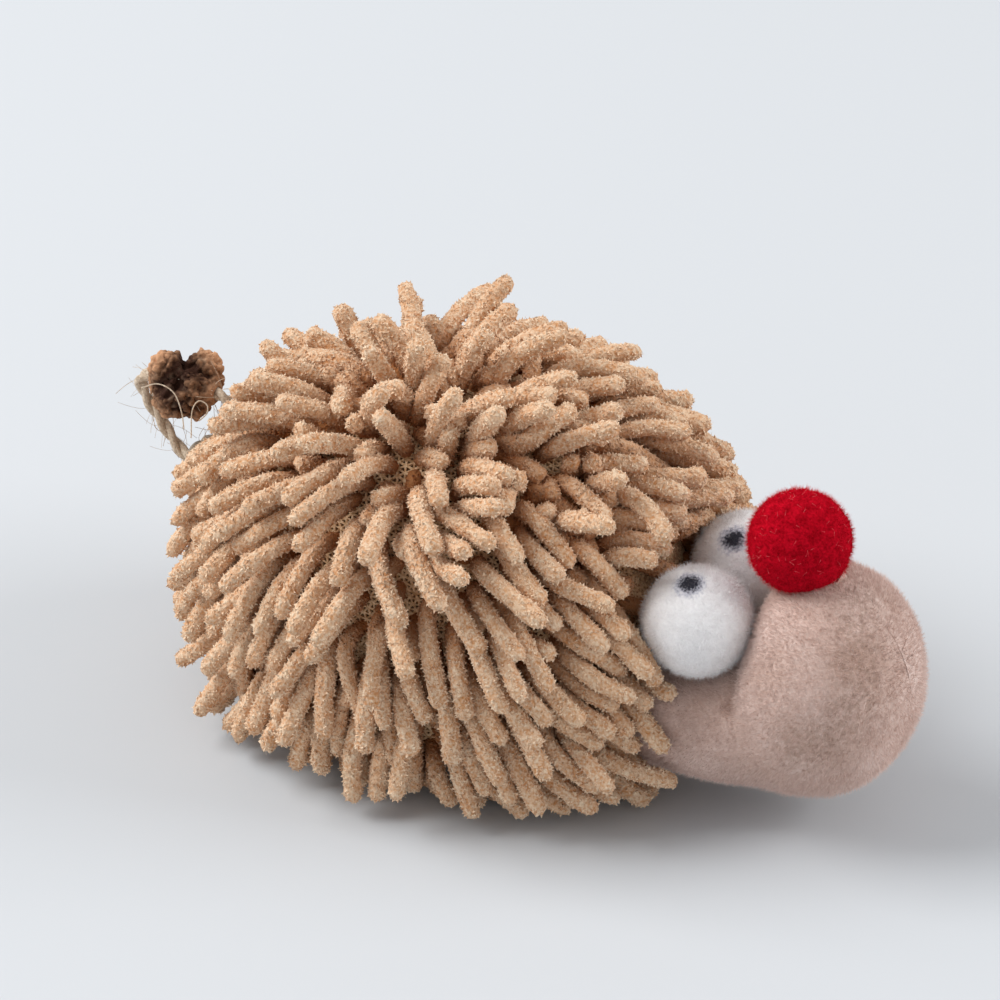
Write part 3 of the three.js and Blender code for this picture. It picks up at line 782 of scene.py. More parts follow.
# %% Pompoms
def pompom(name, centre, radius, length, count, stray):
    """A ball and its pile of count hairs, the first few of them stray ones that lie across the rest."""
    ball = even_ball(name, 6)
    directions = unit(points(ball))
    rough = 0.12 * clumps(directions * radius, 1.2, radius) + rng.uniform(-0.05, 0.05, len(directions))
    places = centre + directions * (radius - 0.25 + rough)[:, None]
    # The pile value is low in the pits between the lumps, which the fibre paints deeper as painted shade.
    record_attribute(ball, "pile", (rough + 0.25) / 0.5)
    for _ in range(3):
        short = np.maximum(0, 0.15 - head_distance(places))
        places = places + head_normal(places) * short[:, None]
    if centre[1]:
        side = math.copysign(1, centre[1])
        places[:, 1] = side * np.maximum(side * places[:, 1], 0.1)
    move(ball, places)
    places, outward = scatter(ball, count)
    free = (head_distance(places) > 0.3) & (np.abs(places[:, 1]) > (0.3 if centre[1] else -1))
    places, outward = places[free], outward[free]
    lean = unit(outward + rng.normal(scale=0.5, size=places.shape))
    longer = np.arange(len(places)) < stray
    lean = np.where(longer[:, None], unit(np.cross(lean, rng.normal(size=lean.shape)) + 0.3 * lean), lean)
    lengths = (0.3 + 0.7 * rng.uniform(size=len(places)) ** 2) * length
    starts = places + np.where(longer, 0.3, -0.1)[:, None] * outward
    pile = grow_pile(name + "_pile", starts, lean, np.where(longer, 0.9, lengths), 0.03)
    record_attribute(pile, "pile", np.tile(hair_points[:, 2], len(places)) * 0.4 + 0.5)
    record_attribute(pile, "stray", np.repeat(longer.astype(float), len(hair_points)))
    return ball, pile


# %% Pompom fibre and pupils
def on_ball(x, y, centre, radius):
    """Place on a ball that the photograph shows at a pixel."""
    start, direction = pixel_ray(x, y)
    middle = (centre - start) @ direction
    off = np.linalg.norm(centre - start - direction * middle)
    return start + direction * (middle - math.sqrt(radius ** 2 - off ** 2))


def pompom_fibre(name, pale, deep, stray, sheen, pupil=None):
    finish = Finish(name, roughness=0.95, sheen=sheen, gloss=0.04)
    grain = finish.noise(0.35, 3.0)
    height = finish.attribute("pile")
    # Deeper in the pits of the ball and at the hairs' roots, paler at their tips: painted shade, with random
    # tone from the grain.
    colour = finish.mix((grain * 0.5 + height * 0.6).fade(0.25, 0.8), deep, pale)
    # The stray hairs are painted paler than the rest: a painted highlight where they stand out of the pile.
    colour = finish.mix(finish.attribute("stray") * 0.6, colour, stray)
    if pupil is not None:
        edge = finish.near(pupil) + (finish.noise(0.4, 3.0) - 0.5) * 2.6
        halo = 1 - edge.fade(1.4, 2.9)
        core = 1 - edge.fade(0.9, 1.9)
        colour = finish.mix(halo * 0.5, colour, (0.2, 0.22, 0.36))
        colour = finish.mix(core * 0.96, colour, (0.01, 0.01, 0.02))
    finish.colour(colour)
    return finish.bump(grain, 0.12)


# %% Eyes and nose
pupil_pixels = {1: (733, 538), -1: (689, 582)}
white, shaded_white, stray_white = (0.96, 0.95, 0.95), (0.86, 0.84, 0.84), (0.97, 0.97, 1.0)
for side, name in ((1, "eye_left"), (-1, "eye_right")):
    pupil = on_ball(*pupil_pixels[side], eye_centres[side], eye_radius)
    material = pompom_fibre(name + "_white", white, shaded_white, stray_white, 0.25, pupil)
    ball, pile = pompom(name + "_ball", eye_centres[side], eye_radius, length=1.15, count=19000, stray=150)
    finish_piece(ball, material, "toy", "eye_pompom", name)
    finish_piece(pile, material, "toy", "eye_pompom")
    print(name, "pupil at", pupil.round(1))
material = pompom_fibre("nose_red", (0.62, 0.004, 0.02), (0.24, 0.0, 0.004), (0.9, 0.2, 0.22), 0.0)
ball, pile = pompom("nose_ball", nose_centre, nose_radius, length=1.1, count=18000, stray=180)
finish_piece(ball, material, "toy", "nose_pompom", "nose_pompom")
finish_piece(pile, material, "toy", "nose_pompom")

# %% [markdown]
# ## Cover of the body
# The noodles are knitted into a coarse net, which shows as pale stars between their roots, over a lining.
# The lining is painted dark brown as painted shade.
# Both follow the body's formula in a left and a right half. The net starts as an even ball of triangles:
# each face is inset and its middle deleted, which leaves yarn round a hole, and Solidify and a random nudge
# do the rest.

# %% Net and lining
def half_cover(name, side, divisions, inset):
    """Half of the body's surface, without what the belly panel closes."""
    cover = even_ball(name, divisions)
    directions = unit(points(cover))
    places = body_point(directions, inset)
    places[:, 1] = np.where(np.abs(places[:, 1]) < 0.01, 0, places[:, 1])
    move(cover, places)
    take(cover)
    bpy.ops.object.mode_set(mode="EDIT")
    bpy.ops.mesh.select_all(action="SELECT")
    seam = (0, side * seam_gap / 2 * MM, 0)
    bpy.ops.mesh.bisect(plane_co=seam, plane_no=(0, side, 0), clear_inner=True)
    pick(cover, "VERT", lambda corners: corners[0, 2] < body_centre[2] and np.hypot(
        *(corners[0, :2] / body_halves[:2])) < panel_share + 0.015)
    bpy.ops.mesh.delete(type="VERT")
    return cover


def net(name, side):
    cover = half_cover(name, side, 6, 0.0)
    bpy.ops.mesh.select_all(action="SELECT")
    bpy.ops.mesh.inset(thickness=0.14 * MM, use_individual=True, use_boundary=True)
    bpy.ops.mesh.delete(type="FACE")
    bpy.ops.mesh.select_all(action="SELECT")
    bpy.ops.transform.vertex_random(offset=0.12 * MM, seed=3)
    bpy.ops.object.mode_set(mode="OBJECT")
    modify(cover, "SOLIDIFY", thickness=0.3 * MM, offset=0)
    return cover


# %% Yarn, lining and both halves
net_yarn = grained("net_yarn", 0.4, 3.0, (0.6, 0.34, 0.16), (0.97, 0.7, 0.44), 0.15,
                   roughness=0.95, sheen=0.05)
# Painted shade: the lining is painted dark brown for the shade in the net's holes.
painted_shade_lining = grained("cover_lining_painted_shade", 0.5, 3.0, (0.2, 0.1, 0.045), (0.34, 0.19, 0.1), 0.2, roughness=1.0)
for side, name in ((1, "left"), (-1, "right")):
    finish_piece(net("body_net_" + name, side), net_yarn, "toy", "noodle_chenille")
    cover = half_cover("body_lining_" + name, side, 5, 0.45)
    bpy.ops.object.mode_set(mode="OBJECT")
    modify(cover, "SOLIDIFY", thickness=1.0 * MM, offset=-1)
    finish_piece(cover, painted_shade_lining, "toy", "noodle_chenille")

# %% [markdown]
# ## Chenille noodles
# A noodle is a finger of chenille yarn about 3 mm thick with a round tip, covered in crumbly velvet. It is
# modelled straight, in a few variants of few faces: a cylinder with a bevelled tip is cut into rings, then
# swollen and pinched by noise. Each copy is bent along its own path, and the velvet is grown on it
# afterwards.

# %% Model straight noodles
noodle_radius, noodle_span = 1.25, 15.0


def straight_noodle(name, seed):
    deselect()
    bpy.ops.mesh.primitive_cylinder_add(
        vertices=8, radius=noodle_radius * MM, depth=noodle_span * MM, location=(0, 0, noodle_span / 2 * MM))
    noodle = named(name)
    bpy.ops.object.transform_apply(location=True)
    bpy.ops.object.mode_set(mode="EDIT")
    pick(noodle, "EDGE", lambda corners: corners[:, 2].min() > noodle_span - 0.01)
    bpy.ops.mesh.bevel(offset=noodle_radius * 0.92 * MM, segments=2, affect="EDGES")
    pick(noodle, "EDGE", lambda corners: np.ptp(corners[:, 2]) > noodle_span / 2)
    bpy.ops.mesh.subdivide(number_cuts=11)
    bpy.ops.object.mode_set(mode="OBJECT")
    sort_by_place(noodle)
    bpy.ops.object.mode_set(mode="EDIT")
    bpy.ops.mesh.select_all(action="SELECT")
    bpy.ops.transform.vertex_random(offset=0.08 * MM, seed=seed)
    bpy.ops.object.mode_set(mode="OBJECT")
    straight, outward = points(noodle), normals(noodle)
    swelling = 0.13 * clumps(straight * [0.3, 0.3, 1], 2.2, 10.0 * seed)
    swelling = swelling + 0.1 * clumps(straight, 1.2, seed + 0.5)
    move(noodle, straight + outward * (noodle_radius * swelling)[:, None])
    return noodle


straights = [straight_noodle(f"straight_noodle_{seed}", seed) for seed in range(6)]
print("faces in a noodle:", len(straights[0].data.polygons))

# %% [markdown]
# The noodles are spread over the cover by the golden angle, from a crown on the back downwards. Each stands
# up at its root, leans away from the crown and droops. Then all are relaxed: where two are closer than
# their thickness they push each other's tips apart, and all stay out of the head, the eyes and the swinging
# tail. Last, short noodles that lie flat fill the bare places, down to the small gaps where the net really
# shows.

# %% Paths of the noodles
noodle_length, root_depth = 15.5, 0.8
noodle_count, filler_count, filler_gap = 620, 400, 1.9
lean_most, lean_reach = math.radians(56), math.radians(40)
droop_share, stiff_share, comb_share, spread_share = 0.24, 0.45, 1.2, 0.22
crown = unit(np.array([-0.2, -0.25, 0.95]))
comb = np.array([0.9, 0.43, 0])
print("noodles to spread:", noodle_count)

# %% Room for the tail, the head, the eyes and the floor
thickness, clear = 3.1, 1.6
swing_gap, eye_gap, sight_gap, floor_gap = 1.0, 0.8, 0.4, 0.7
swing_up, swing_down = math.radians(15), math.radians(20)
tail_discs = [(-x, z, abs(y) + twine_radius) for x, y, z in tail_route - tail_pivot]
knot_disc, fruit_disc = (14.8, 0.9, 3.1), (16.8, 12.6, 5.9)
tail_discs += [knot_disc, fruit_disc]


def tail_sweep(places):
    """Half width that the swinging tail needs beside the middle plane at each place."""
    across = np.stack([tail_pivot[0] - places[:, 0], places[:, 2] - tail_pivot[2]], axis=1)
    angle = np.arctan2(across[:, 1], across[:, 0])
    width = np.zeros(len(places))
    for behind, above, radius in tail_discs:
        own = math.atan2(above, behind)
        swung = np.clip(angle, own - swing_down, own + swing_up)
        disc = math.hypot(behind, above) * np.stack([np.cos(swung), np.sin(swung)], axis=1)
        off = np.linalg.norm(disc - across, axis=1)
        width = np.maximum(width, np.sqrt(np.maximum(0, (radius + clear + swing_gap) ** 2 - off ** 2)))
    return width


in_sight = [(eye_centres[1], eye_radius), (eye_centres[-1], eye_radius), (fruit_centre, fruit_radius)]


def shown_beside(places, centre):
    """How far beside a centre places show in the photograph, and whether they are before it."""
    away = places - centre
    shown = np.outer(away @ image_right, image_right) + np.outer(away @ image_up, image_up)
    return shown, away @ to_camera > 0


def push_clear(places, side):
    """Moves places out of the head, the eyes, the line of sight to the eyes and the fruit, the tail's
    swing and the floor."""
    short = clear - head_distance(places)
    places = places + head_normal(places) * np.maximum(0, short)[:, None]
    for centre in eye_centres.values():
        away = places - centre
        gap = np.linalg.norm(away, axis=1)
        places = places + unit(away) * np.maximum(0, eye_radius + clear + eye_gap - gap)[:, None]
    for centre, radius in in_sight:
        shown, before = shown_beside(places, centre)
        short = np.where(before, radius + clear + sight_gap - np.linalg.norm(shown, axis=1), 0)
        places = places + unit(shown) * np.maximum(0, short)[:, None]
    places[:, 1] = side * np.maximum(side * places[:, 1], tail_sweep(places))
    places[:, 2] = np.maximum(places[:, 2], clear + floor_gap)
    return places


# %% Roots on the cover
number = np.arange(noodle_count)
from_crown = np.arccos(1 - (2 * number + 1) / noodle_count)
turn = number * math.pi * (3 - math.sqrt(5))
beside_crown = np.sin(from_crown)
spread = np.stack([beside_crown * np.sin(turn), np.cos(from_crown), beside_crown * np.cos(turn)], axis=1)
tilt = np.array(Vector((0, 1, 0)).rotation_difference(Vector(crown)).to_matrix())
root_jitter = 0.028
spread = unit(spread @ tilt.T + rng.normal(scale=root_jitter, size=spread.shape))
parting = even(np.array([(340, 370, 0), (430, 440, 0), (600, 540, 0)], float), 5)[:, :2]
parting_width = 42
tail_hole, tail_hole_reach = np.array([-body_halves[0], 0, tail_pivot[2]]), 4.2


def matted_share(places):
    """1 along the flattened parting that the photograph shows on the back, fading to 0 beside it."""
    gaps = np.linalg.norm(pixels_of(places)[:, None] - parting[None], axis=2)
    return np.exp(-(gaps.min(axis=1) / parting_width) ** 2) * (body_normal(places) @ to_camera > 0)


def bare(places):
    """Where no noodle is rooted: under the belly, at the neck and round the tail."""
    over_panel = np.hypot(*(places[:, :2] / body_halves[:2]).T) < panel_share + 0.07
    tail_near = np.linalg.norm(places - tail_hole, axis=1) < tail_hole_reach
    return (places[:, 2] < body_centre[2]) & over_panel | (head_distance(places) < 0.6) | tail_near


def away_from_crown(places):
    """Directions outwards and, along the cover, away from the crown."""
    flow = places - body_point(crown[None])
    flow += comb_share * (flow @ comb)[:, None] * comb
    outward = body_normal(places)
    return outward, unit(flow - outward * np.sum(flow * outward, axis=1, keepdims=True))


roots = body_point(spread)
side = np.where(roots[:, 1] < 0, -1, 1)
roots[:, 1] = side * np.maximum(0.9, np.abs(roots[:, 1]))
rooted = ~bare(roots)
roots, side, from_crown = roots[rooted], side[rooted], from_crown[rooted]
print("noodles rooted:", len(roots))

# %% Bends and tips
stray_share, matted_stray, lock_share, neck_comb, matted_short = 0.14, 0.35, 0.5, 0.35, 0.15
outward, flow = away_from_crown(roots)
lean = (lean_most * np.minimum(1, from_crown / lean_reach))[:, None]
lean = lean * rng.uniform(0.7, 1.15, size=(len(roots), 1))
matted = matted_share(roots)
locks = np.stack([clumps(roots, 10.0, seed) for seed in (1.0, 4.0, 7.0)], axis=1)
astray = rng.normal(size=roots.shape) * (stray_share + matted_stray * matted)[:, None]
aims = outward * np.cos(lean) + flow * np.sin(lean) + lock_share * locks + astray
aims[:, 2] -= droop_share * (1 - outward[:, 2])
beside_neck = np.clip((roots[:, 0] - 14) / 12, 0, 1) * (roots[:, 2] < 34)
aims[:, 0] += neck_comb * beside_neck
aims = unit(aims)
lengths = noodle_length * (1 - spread_share * rng.uniform(size=len(roots)) - matted_short * matted)
starts = roots - root_depth * outward
tips = push_clear(roots + aims * lengths[:, None], side)
knees = starts + outward * (lengths * stiff_share)[:, None]
bends = push_clear(((starts + tips) / 2 + knees) / 2, side)

# %% Relax the noodles
def on_noodle(t, start, bend, tip):
    """Places at shares t of the parabola through a noodle's start, bend and tip."""
    return 2 * (t - 0.5) * (t - 1) * start - 4 * t * (t - 1) * bend + 2 * t * (t - 0.5) * tip


relax_rounds, push_share, bend_give = 40, 0.3, 0.6
stops = np.array([0.3, 0.5, 0.7, 0.85, 1.0])
bend_pull, tip_pull = np.maximum(0, -4 * stops * (stops - 1)), np.maximum(0, 2 * stops * (stops - 0.5))
owner = np.repeat(np.arange(len(roots)), len(stops))
rest_reach = np.linalg.norm(tips - roots, axis=1, keepdims=True)
for _ in range(relax_rounds):
    samples = on_noodle(stops[:, None], starts[:, None], bends[:, None], tips[:, None])
    flat = samples.reshape(-1, 3)
    squares = (flat ** 2).sum(axis=1)
    gaps = np.sqrt(np.maximum(squares[:, None] + squares[None] - 2 * flat @ flat.T, 1e-6))
    first, second = np.nonzero((gaps < thickness) & (owner[:, None] < owner[None]))
    push = unit(flat[first] - flat[second]) * (push_share * (thickness - gaps[first, second]))[:, None]
    shift = np.zeros_like(flat)
    np.add.at(shift, first, push)
    np.add.at(shift, second, -push)
    shift = shift.reshape(samples.shape)
    tips = tips + np.einsum("nsk,s->nk", shift, tip_pull)
    bends = bends + np.einsum("nsk,s->nk", shift, bend_pull) * bend_give
    tips = roots + unit(tips - roots) * rest_reach
    tips, bends = push_clear(tips, side), push_clear(bends, side)
print("noodles:", len(roots), "pairs still close:", len(first))

# %% Fill the bare places
filler_tries, filler_lengths, filler_stray, filler_lift = 6000, (4.5, 8.0), 0.7, 1.2
tries = body_point(unit(rng.normal(size=(filler_tries, 3))))
tries = tries[~bare(tries) & (tail_sweep(tries) == 0) & (np.abs(tries[:, 1]) > 1.4)]
near_paths = np.vstack([flat, roots])
over_tries = tries + 1.6 * body_normal(tries)
gaps = np.array([np.linalg.norm(near_paths - place, axis=1).min() for place in over_tries])
barest = 1 + 0.5 * matted_share(tries)
fillers = []
for _ in range(filler_count):
    widest = int(np.argmax(gaps * barest))
    if gaps[widest] < filler_gap:
        break
    fillers.append(tries[widest])
    gaps = np.minimum(gaps, np.linalg.norm(tries - tries[widest], axis=1))
fillers = np.array(fillers)
filler_side = np.where(fillers[:, 1] < 0, -1, 1)
outward, flow = away_from_crown(fillers)
aims = unit(0.55 * outward + flow + rng.normal(scale=filler_stray, size=fillers.shape))
filler_starts = fillers - root_depth * outward
filler_tips = fillers + aims * rng.uniform(*filler_lengths, size=(len(fillers), 1))
filler_tips = push_clear(filler_tips, filler_side)
filler_bends = push_clear((filler_starts + filler_tips) / 2 + filler_lift * outward, filler_side)
starts, bends, tips = (np.vstack(pair) for pair in (
    (starts, filler_starts), (bends, filler_bends), (tips, filler_tips)))
roots, side = np.vstack([roots, fillers]), np.concatenate([side, filler_side])
print("short noodles in bare places:", len(fillers), "widest gap left:", round(float(gaps.max()), 1), "mm")

# %% Leave out what would hide the eyes and the fruit
hides = np.zeros(len(roots), bool)
for stop in np.linspace(0.2, 1, 9):
    along = on_noodle(stop, starts, bends, tips)
    for centre, radius in in_sight:
        shown, before = shown_beside(along, centre)
        hides |= before & (np.linalg.norm(shown, axis=1) < radius + noodle_radius - 0.5)
starts, bends, tips, roots, side = (kept[~hides] for kept in (starts, bends, tips, roots, side))
print("left out:", hides.sum())

# %% [markdown]
# Each copy follows a parabola through its root, bend and tip. The straight noodle's rings are placed at
# equal runs along it, square to it, so that it neither thins nor stretches in the bend.

# %% Plant the noodles
def bent(straight, start, bend, tip, roll, girth):
    """Points of a straight noodle, turned by roll, thickened by girth and laid along its parabola."""
    curve = on_noodle(np.linspace(0, 1, 40)[:, None], start, bend, tip)
    run = run_along(curve)
    along = unit(np.gradient(curve, axis=0))
    square = unit(np.cross(bend - start, tip - start) + 1e-6)
    height = np.clip(straight[:, 2] / noodle_span, 0, 1.03) * run[-1]
    centre = np.stack([np.interp(height, run, curve[:, i]) for i in range(3)], axis=1)
    tangent = unit(np.stack([np.interp(height, run, along[:, i]) for i in range(3)], axis=1))
    centre += tangent * np.maximum(0, height - run[-1])[:, None]
    first = unit(np.cross(square, tangent))
    second = np.cross(tangent, first)
    width = girth * (0.82 + 0.18 * np.clip(height / 4, 0, 1))
    x = straight[:, 0] * math.cos(roll) - straight[:, 1] * math.sin(roll)
    y = straight[:, 0] * math.sin(roll) + straight[:, 1] * math.cos(roll)
    return centre + (x * width)[:, None] * first + (y * width)[:, None] * second


straight_points = [points(straight) for straight in straights]
girths = rng.uniform(0.94, 1.1, len(roots)) * (1 + 0.1 * matted_share(roots))
groups, third_half = {}, 11
for i in range(len(roots)):
    kind = rng.integers(len(straights))
    noodle = bpy.data.objects.new("noodle", straights[kind].data.copy())
    scene.collection.objects.link(noodle)
    roll = rng.uniform(0, 2 * math.pi)
    move(noodle, bent(straight_points[kind], starts[i], bends[i], tips[i], roll, girths[i]))
    third = "front" if roots[i, 0] > third_half else "rear" if roots[i, 0] < -third_half else "middle"
    where = ("left" if side[i] > 0 else "right", third)
    groups.setdefault(where, []).append(noodle)
for straight in straights:
    bpy.data.objects.remove(straight)

# %% [markdown]
# Chenille takes light like velvet. Its crumbs are a warm tan, and the pits between them are painted a deeper
# orange brown as painted shade. It is painted darker still towards the cover, where the light comes through
# other noodles. That is painted shade too, so the height over the cover is kept with each mesh. The velvet of
# each group is one mesh of blunt three-sided crumbs with a few fine hairs.

# %% Chenille
finish = Finish("chenille", roughness=0.95, sheen=0.06)
crumb = finish.noise(0.42, 3.0)
patches = finish.noise(9.0, 2.0)
tufts = finish.noise(1.5, 2.0)
# Crumb roots and the noodle between them have a low pile value, so the pits come out deeper: painted shade,
# with random tone from the noise.
height = crumb * 0.8 + tufts * 0.35 + finish.attribute("pile") * 0.7
tone = finish.mix(height.fade(0.5, 1.1), (0.6, 0.25, 0.08), (0.96, 0.785, 0.585))
tone = finish.mix(patches.fade(0.4, 0.75) * 0.25, tone, (0.88, 0.61, 0.39))
# Painted shade: deep orange brown near the cover, fading out higher up the noodles.
depth = 1 - finish.attribute("rise").fade(0.0, 0.8)
finish.colour(finish.mix(depth * 0.95, tone, (0.38, 0.14, 0.04)))
chenille = finish.bump(crumb + tufts, 0.45)

# %% Velvet on the noodles
crumbs_on_noodle, hairs_on_noodle, rise_reach = 220, 40, 8.0
crumb_lengths, crumb_radii, hair_radius = (0.35, 0.6), (0.24, 0.36), 0.04


def height_over_body(places):
    off = places - body_centre
    return np.linalg.norm(off, axis=1) - np.linalg.norm(body_point(off) - body_centre, axis=1)


for (left_right, third), noodles in sorted(groups.items()):
    take(*noodles)
    bpy.ops.object.join()
    piece = named(f"noodles_{left_right}_{third}")
    # The rise and pile values carry the painted shade near the cover and at the crumbs' roots.
    record_attribute(piece, "rise", np.clip(height_over_body(points(piece)) / rise_reach, 0, 1))
    record_attribute(piece, "pile", np.full(len(piece.data.vertices), 0.3))
    nodes = [f"back_panel_{left_right}"] if third == "middle" else []
    finish_piece(piece, chenille, "toy", "noodle_chenille", *nodes)
    places, outward = scatter(piece, (crumbs_on_noodle + hairs_on_noodle) * len(noodles))
    shown = height_over_body(places) > 0.4
    places, outward = places[shown], outward[shown]
    crumbly = np.arange(len(places)) % (crumbs_on_noodle + hairs_on_noodle) < crumbs_on_noodle
    lean = unit(outward + rng.normal(scale=0.4, size=places.shape))
    lengths = rng.uniform(*crumb_lengths, len(places)) * np.where(crumbly, 1, 1.5)
    radii = np.where(crumbly, rng.uniform(*crumb_radii, len(places)), hair_radius)
    fuzz = grow_pile(f"velvet_{left_right}_{third}", places - 0.12 * outward, lean, lengths,
                     radii[:, None, None])
    rise = np.clip(height_over_body(places) / rise_reach, 0, 1)
    record_attribute(fuzz, "rise", np.repeat(rise, len(hair_points)))
    record_attribute(fuzz, "pile", np.tile(0.35 + 0.25 * hair_points[:, 2], len(places)))
    finish_piece(fuzz, chenille, "toy", "noodle_chenille")

# %% [markdown]
# ## Belly and seams
# A smooth plush panel closes the underside. It is the cap of an even ball that the noodle cover leaves
# open, pressed flat where the toy rests. Sewing thread joins all the panels: two fine plies wound round
# each seam.

# %% Belly panel
finish = Finish("belly_plush", roughness=0.95, sheen=0.15)
grain = finish.noise(0.45, 3.0)
patchy = (grain * 0.6 + finish.noise(5.0) * 0.4).fade(0.3, 0.7)
finish.colour(finish.mix(patchy, (0.55, 0.37, 0.28), (0.86, 0.71, 0.61)))
belly_plush = finish.bump(grain, 0.25)
belly = even_ball("belly_panel_plush", 6)
places = body_point(points(belly)) + 0.08 * clumps(points(belly) * 26, 1.6)[:, None] * unit(points(belly))
places[:, 2] = np.maximum(places[:, 2], 0.05)
move(belly, places)
take(belly)
bpy.ops.object.mode_set(mode="EDIT")
pick(belly, "VERT", lambda corners: corners[0, 2] > body_centre[2] or np.hypot(
    *(corners[0, :2] / body_halves[:2])) > panel_share - 0.01)
bpy.ops.mesh.delete(type="VERT")
bpy.ops.object.mode_set(mode="OBJECT")
pile_places, outward = scatter(belly, 16000)
raised = pile_places[:, 2] > 1.2
lean = unit(outward[raised] + rng.normal(scale=0.5, size=(raised.sum(), 3)))
belly_pile = grow_pile("belly_pile", pile_places[raised] - 0.1 * outward[raised], lean,
                       rng.uniform(0.4, 0.7, raised.sum()), 0.05)
modify(belly, "SOLIDIFY", thickness=1.2 * MM, offset=-1)
finish_piece(belly, belly_plush, "toy", "belly_plush", "belly_panel")
finish_piece(belly_pile, belly_plush, "toy", "belly_plush")

# %% Seam threads
def around(start, end):
    """Directions in the middle plane from one angle to another, 0.04 radians apart."""
    angles = np.arange(start, end, 0.04)
    return np.stack([np.cos(angles), 0 * angles, np.sin(angles)], axis=1)


def neck_seam():
    """Route round the neck, 0.65 mm off both the head and the body."""
    offset, ring = 0.65, np.linspace(0, 2 * math.pi, 60, endpoint=False)
    outward = np.stack([0 * ring, np.cos(ring), np.sin(ring)], axis=1)
    back, front = np.full(len(ring), body_halves[0] / 2), np.full(len(ring), body_halves[0] + offset)
    for _ in range(24):
        middle = (back + front) / 2
        low, high = np.zeros(len(ring)), np.full(len(ring), 40.0)
        for _ in range(24):
            reach = (low + high) / 2
            places = neck_centre * [0, 1, 1] + middle[:, None] * [1, 0, 0] + reach[:, None] * outward
            inside = head_distance(places) < offset
            low, high = np.where(inside, reach, low), np.where(inside, high, reach)
        inside = height_over_body(places) < offset
        back, front = np.where(inside, middle, back), np.where(inside, front, middle)
    return np.vstack([places, places[:1]])


thread_inset, panel_angle, tail_slot = 2.25, math.atan2(panel_fall, panel_share) - 0.08, 0.182
ring = np.linspace(0, 2 * math.pi, 90)[:, None]
belly_ring = np.hstack([panel_share * np.cos(ring), panel_share * np.sin(ring), 0 * ring - panel_fall])
seams = {
    "spine_seam": ("body", body_point(around(-panel_angle, math.pi - 2 * tail_slot), thread_inset)),
    "rump_seam": ("body", body_point(around(math.pi + tail_slot, math.pi + panel_angle), thread_inset)),
    "belly_seam": ("body", body_point(belly_ring, thread_inset + seam_gap)),
    "head_seam": ("head", head_point(around(-2.18, 2.18), thread_inset)),
    "neck_seam": ("head", neck_seam()),
}
threads = {}
for part, deep, pale in (
    ("body", (0.3, 0.18, 0.1), (0.62, 0.43, 0.28)),
    ("head", (0.42, 0.3, 0.24), (0.74, 0.6, 0.52)),
):
    threads[part] = grained(part + "_thread", 0.25, 3.0, deep, pale, 0.05, roughness=0.7, sheen=0.1)
for name, (part, route) in seams.items():
    finish_piece(twine(name + "_plies", route, pitch=1.8, scale=0.38), threads[part], "toy", part + "_thread",
                 name + "_thread")

# %% [markdown]
# ## Inside
# Loose polyester fibre fills the body and the head, and a sealed fleece sachet of dried leaf lies on the
# belly panel. The fibre takes its cover's form a little inside it, with lumps, and is dented over the
# sachet. Cloth simulation would only press it against the cover again, so it is shaped by the cover's own
# formula.

# %% Fillings
sachet_centre, sachet_halves = np.array([0, 0, 5.9]), np.array([14, 11, 4.5])


def filling(name, place):
    piece = even_ball(name, 6)
    directions = unit(points(piece))
    lumpy = 0.35 * clumps(directions, 0.22) + 0.12 * clumps(directions, 0.05) - 0.2
    move(piece, place(directions) + directions * lumpy[:, None])
    return piece


def body_filling_place(directions):
    places = body_point(directions, 2.9)
    over = np.clip(2.2 * (1.25 - np.hypot(*(places[:, :2] / (sachet_halves[:2] + 3)).T)), 0, 1)
    over_sachet = 2 * sachet_centre[2]
    places[:, 2] = np.maximum(places[:, 2], over_sachet * over)
    return places


def head_filling_place(directions):
    places = head_point(directions, 2.5)
    inside = body_level(places) < 1.04
    places[inside] = body_point(places[inside] - body_centre, -1.0)
    return places


filling_fibre = grained("filling_fibre", 0.6, 5.0, (0.7, 0.69, 0.64), (0.93, 0.92, 0.88), 0.5,
                        roughness=1.0, sheen=0.3)
for name, place in (("body_filling", body_filling_place), ("head_filling", head_filling_place)):
    piece = filling(name + "_fibre", place)
    finish_piece(piece, filling_fibre, "toy", "filling_fibre", name)

# %% Sachet
def sachet_half(name, way):
    """A domed half with a flat flange round it, cut from a grid."""
    deselect()
    bpy.ops.mesh.primitive_grid_add(x_subdivisions=72, y_subdivisions=60, size=2 * MM)
    piece = named(name)
    take(piece)
    bpy.ops.object.mode_set(mode="EDIT")
    pick(piece, "VERT", lambda corners: np.hypot(*corners[0, :2]) > 1)
    bpy.ops.mesh.delete(type="VERT")
    if way < 0:
        bpy.ops.mesh.select_all(action="SELECT")
        bpy.ops.mesh.flip_normals()
    bpy.ops.object.mode_set(mode="OBJECT")
    flat = points(piece) * [sachet_halves[0] + 1.8, sachet_halves[1] + 1.8, 1]
    level = 1 - np.hypot(*(flat[:, :2] / sachet_halves[:2]).T) ** 2
    dome = np.sqrt(np.maximum(level, 0))
    wrinkles = 0.25 * clumps(flat * [1, 1, 0], 2.4, 3.0) * dome
    flat[:, 2] = way * (0.5 + (sachet_halves[2] - 0.6) * dome + wrinkles)
    move(piece, flat + sachet_centre)
    modify(piece, "SOLIDIFY", thickness=0.35 * MM, offset=-1)
    return piece


sachet_fleece = grained("sachet_fleece", 0.7, 5.0, (0.72, 0.72, 0.69), (0.92, 0.92, 0.9), 0.15,
                        roughness=0.95, sheen=0.1)
for name, way in (("catnip_sachet_upper", 1), ("catnip_sachet_lower", -1)):
    finish_piece(sachet_half(name + "_fleece", way), sachet_fleece, "toy", "sachet_fleece", name)

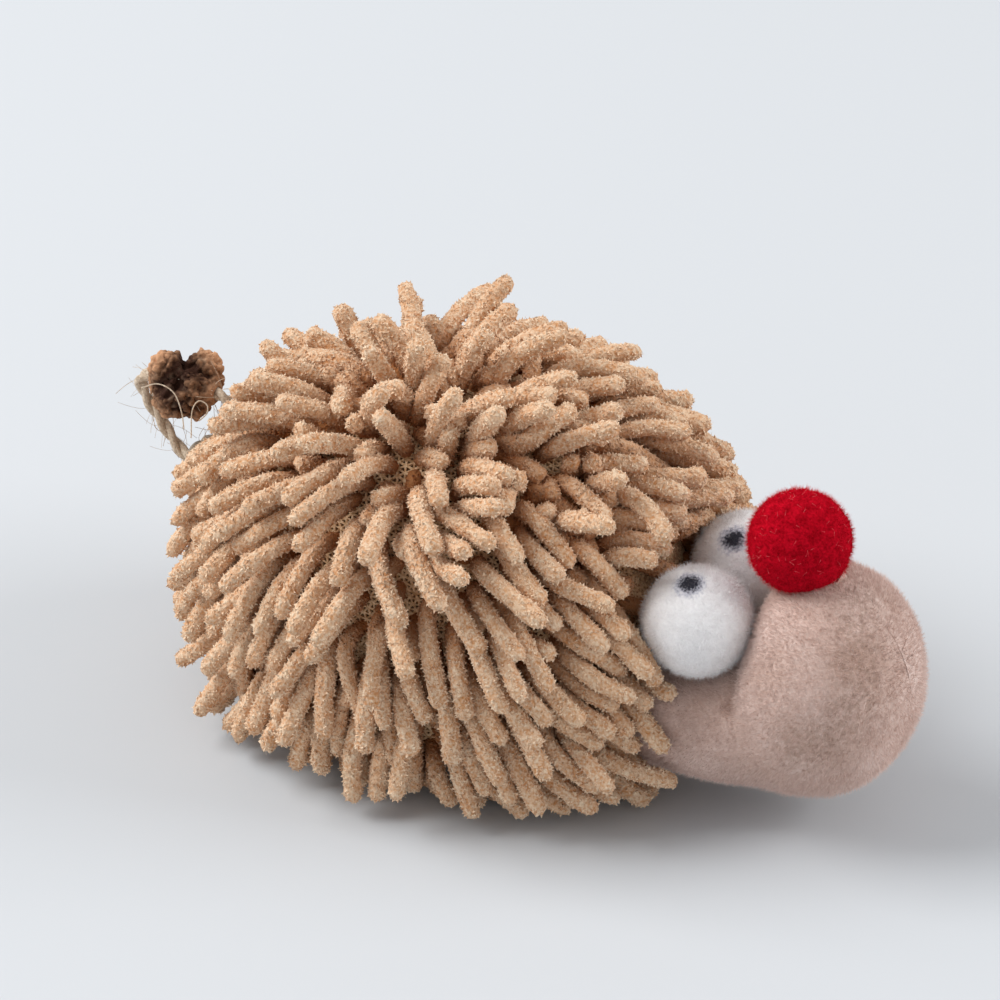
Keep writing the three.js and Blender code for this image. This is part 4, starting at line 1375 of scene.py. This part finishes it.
# %% Dried leaf
leaf = even_ball("dried_leaf_crumbs", 6)
directions = unit(points(leaf))
flakes = 0.35 * clumps(directions * 12, 1.5) + rng.uniform(-0.15, 0.15, len(directions))
move(leaf, sachet_centre + directions * (sachet_halves - 1.6) + directions * flakes[:, None])
dried_leaf = grained("dried_leaf", 0.8, 4.0, (0.07, 0.09, 0.03), (0.3, 0.34, 0.15), 0.3, 0.35, 0.65)
finish_piece(leaf, dried_leaf, "toy", "dried_leaf", "catnip_leaf")

# %% [markdown]
# Cloudy dabs of glue hold the pompoms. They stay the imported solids, because they are small, hard and
# hidden, and get a finish of their own.

# %% Glue
hot_glue = grained("hot_glue", 1.2, 2.0, (0.72, 0.68, 0.55), (0.9, 0.87, 0.76), 0.05, 0.35, 0.65,
                   roughness=0.35, coat=0.3, gloss=0.5)
for name in ("eye_left_glue", "eye_right_glue", "nose_glue"):
    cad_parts[name].data.materials.clear()
    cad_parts[name].data.materials.append(hot_glue)
    print(name, "keeps its solid")

# %% [markdown]
# ## Floor and light
# A pale floor stands in for the photograph's pale background. A broad soft lamp at the upper left, a weaker
# one at the right and a pale world give the photograph's gentle light, at a level where colours render
# about as they are written.

# %% Floor, lamps and world
deselect()
bpy.ops.mesh.primitive_plane_add(size=6, location=(0, 0, -0.0002))
floor = named("floor")
finish = Finish("floor_paint", roughness=0.9)
finish.shader.inputs["Base Color"].default_value = (0.612, 0.637, 0.662, 1)
floor.data.materials.append(finish.material)


def lamp(name, direction, distance, size, power):
    data = bpy.data.lights.new(name, "AREA")
    data.size, data.energy = size, power
    light = bpy.data.objects.new(name, data)
    scene.collection.objects.link(light)
    direction = Vector(direction).normalized()
    light.location = Vector(aim) * MM + direction * distance
    light.rotation_mode = "QUATERNION"
    light.rotation_quaternion = (-direction).to_track_quat("-Z", "Y")


upper_left = -0.75 * image_right + 0.68 * image_up + 0.3 * to_camera
right = 0.9 * image_right + 0.35 * image_up + 0.25 * to_camera
lamp("key_lamp", upper_left, distance=1.6, size=1.0, power=24.5)
lamp("side_lamp", right, distance=1.6, size=0.9, power=14.0)
world = bpy.data.worlds.new("world")
scene.world = world
world.use_nodes = True
world.node_tree.nodes["Background"].inputs["Color"].default_value = (0.98, 0.98, 1.0, 1)
world.node_tree.nodes["Background"].inputs["Strength"].default_value = 0.47
scene.view_settings.view_transform = "Standard"
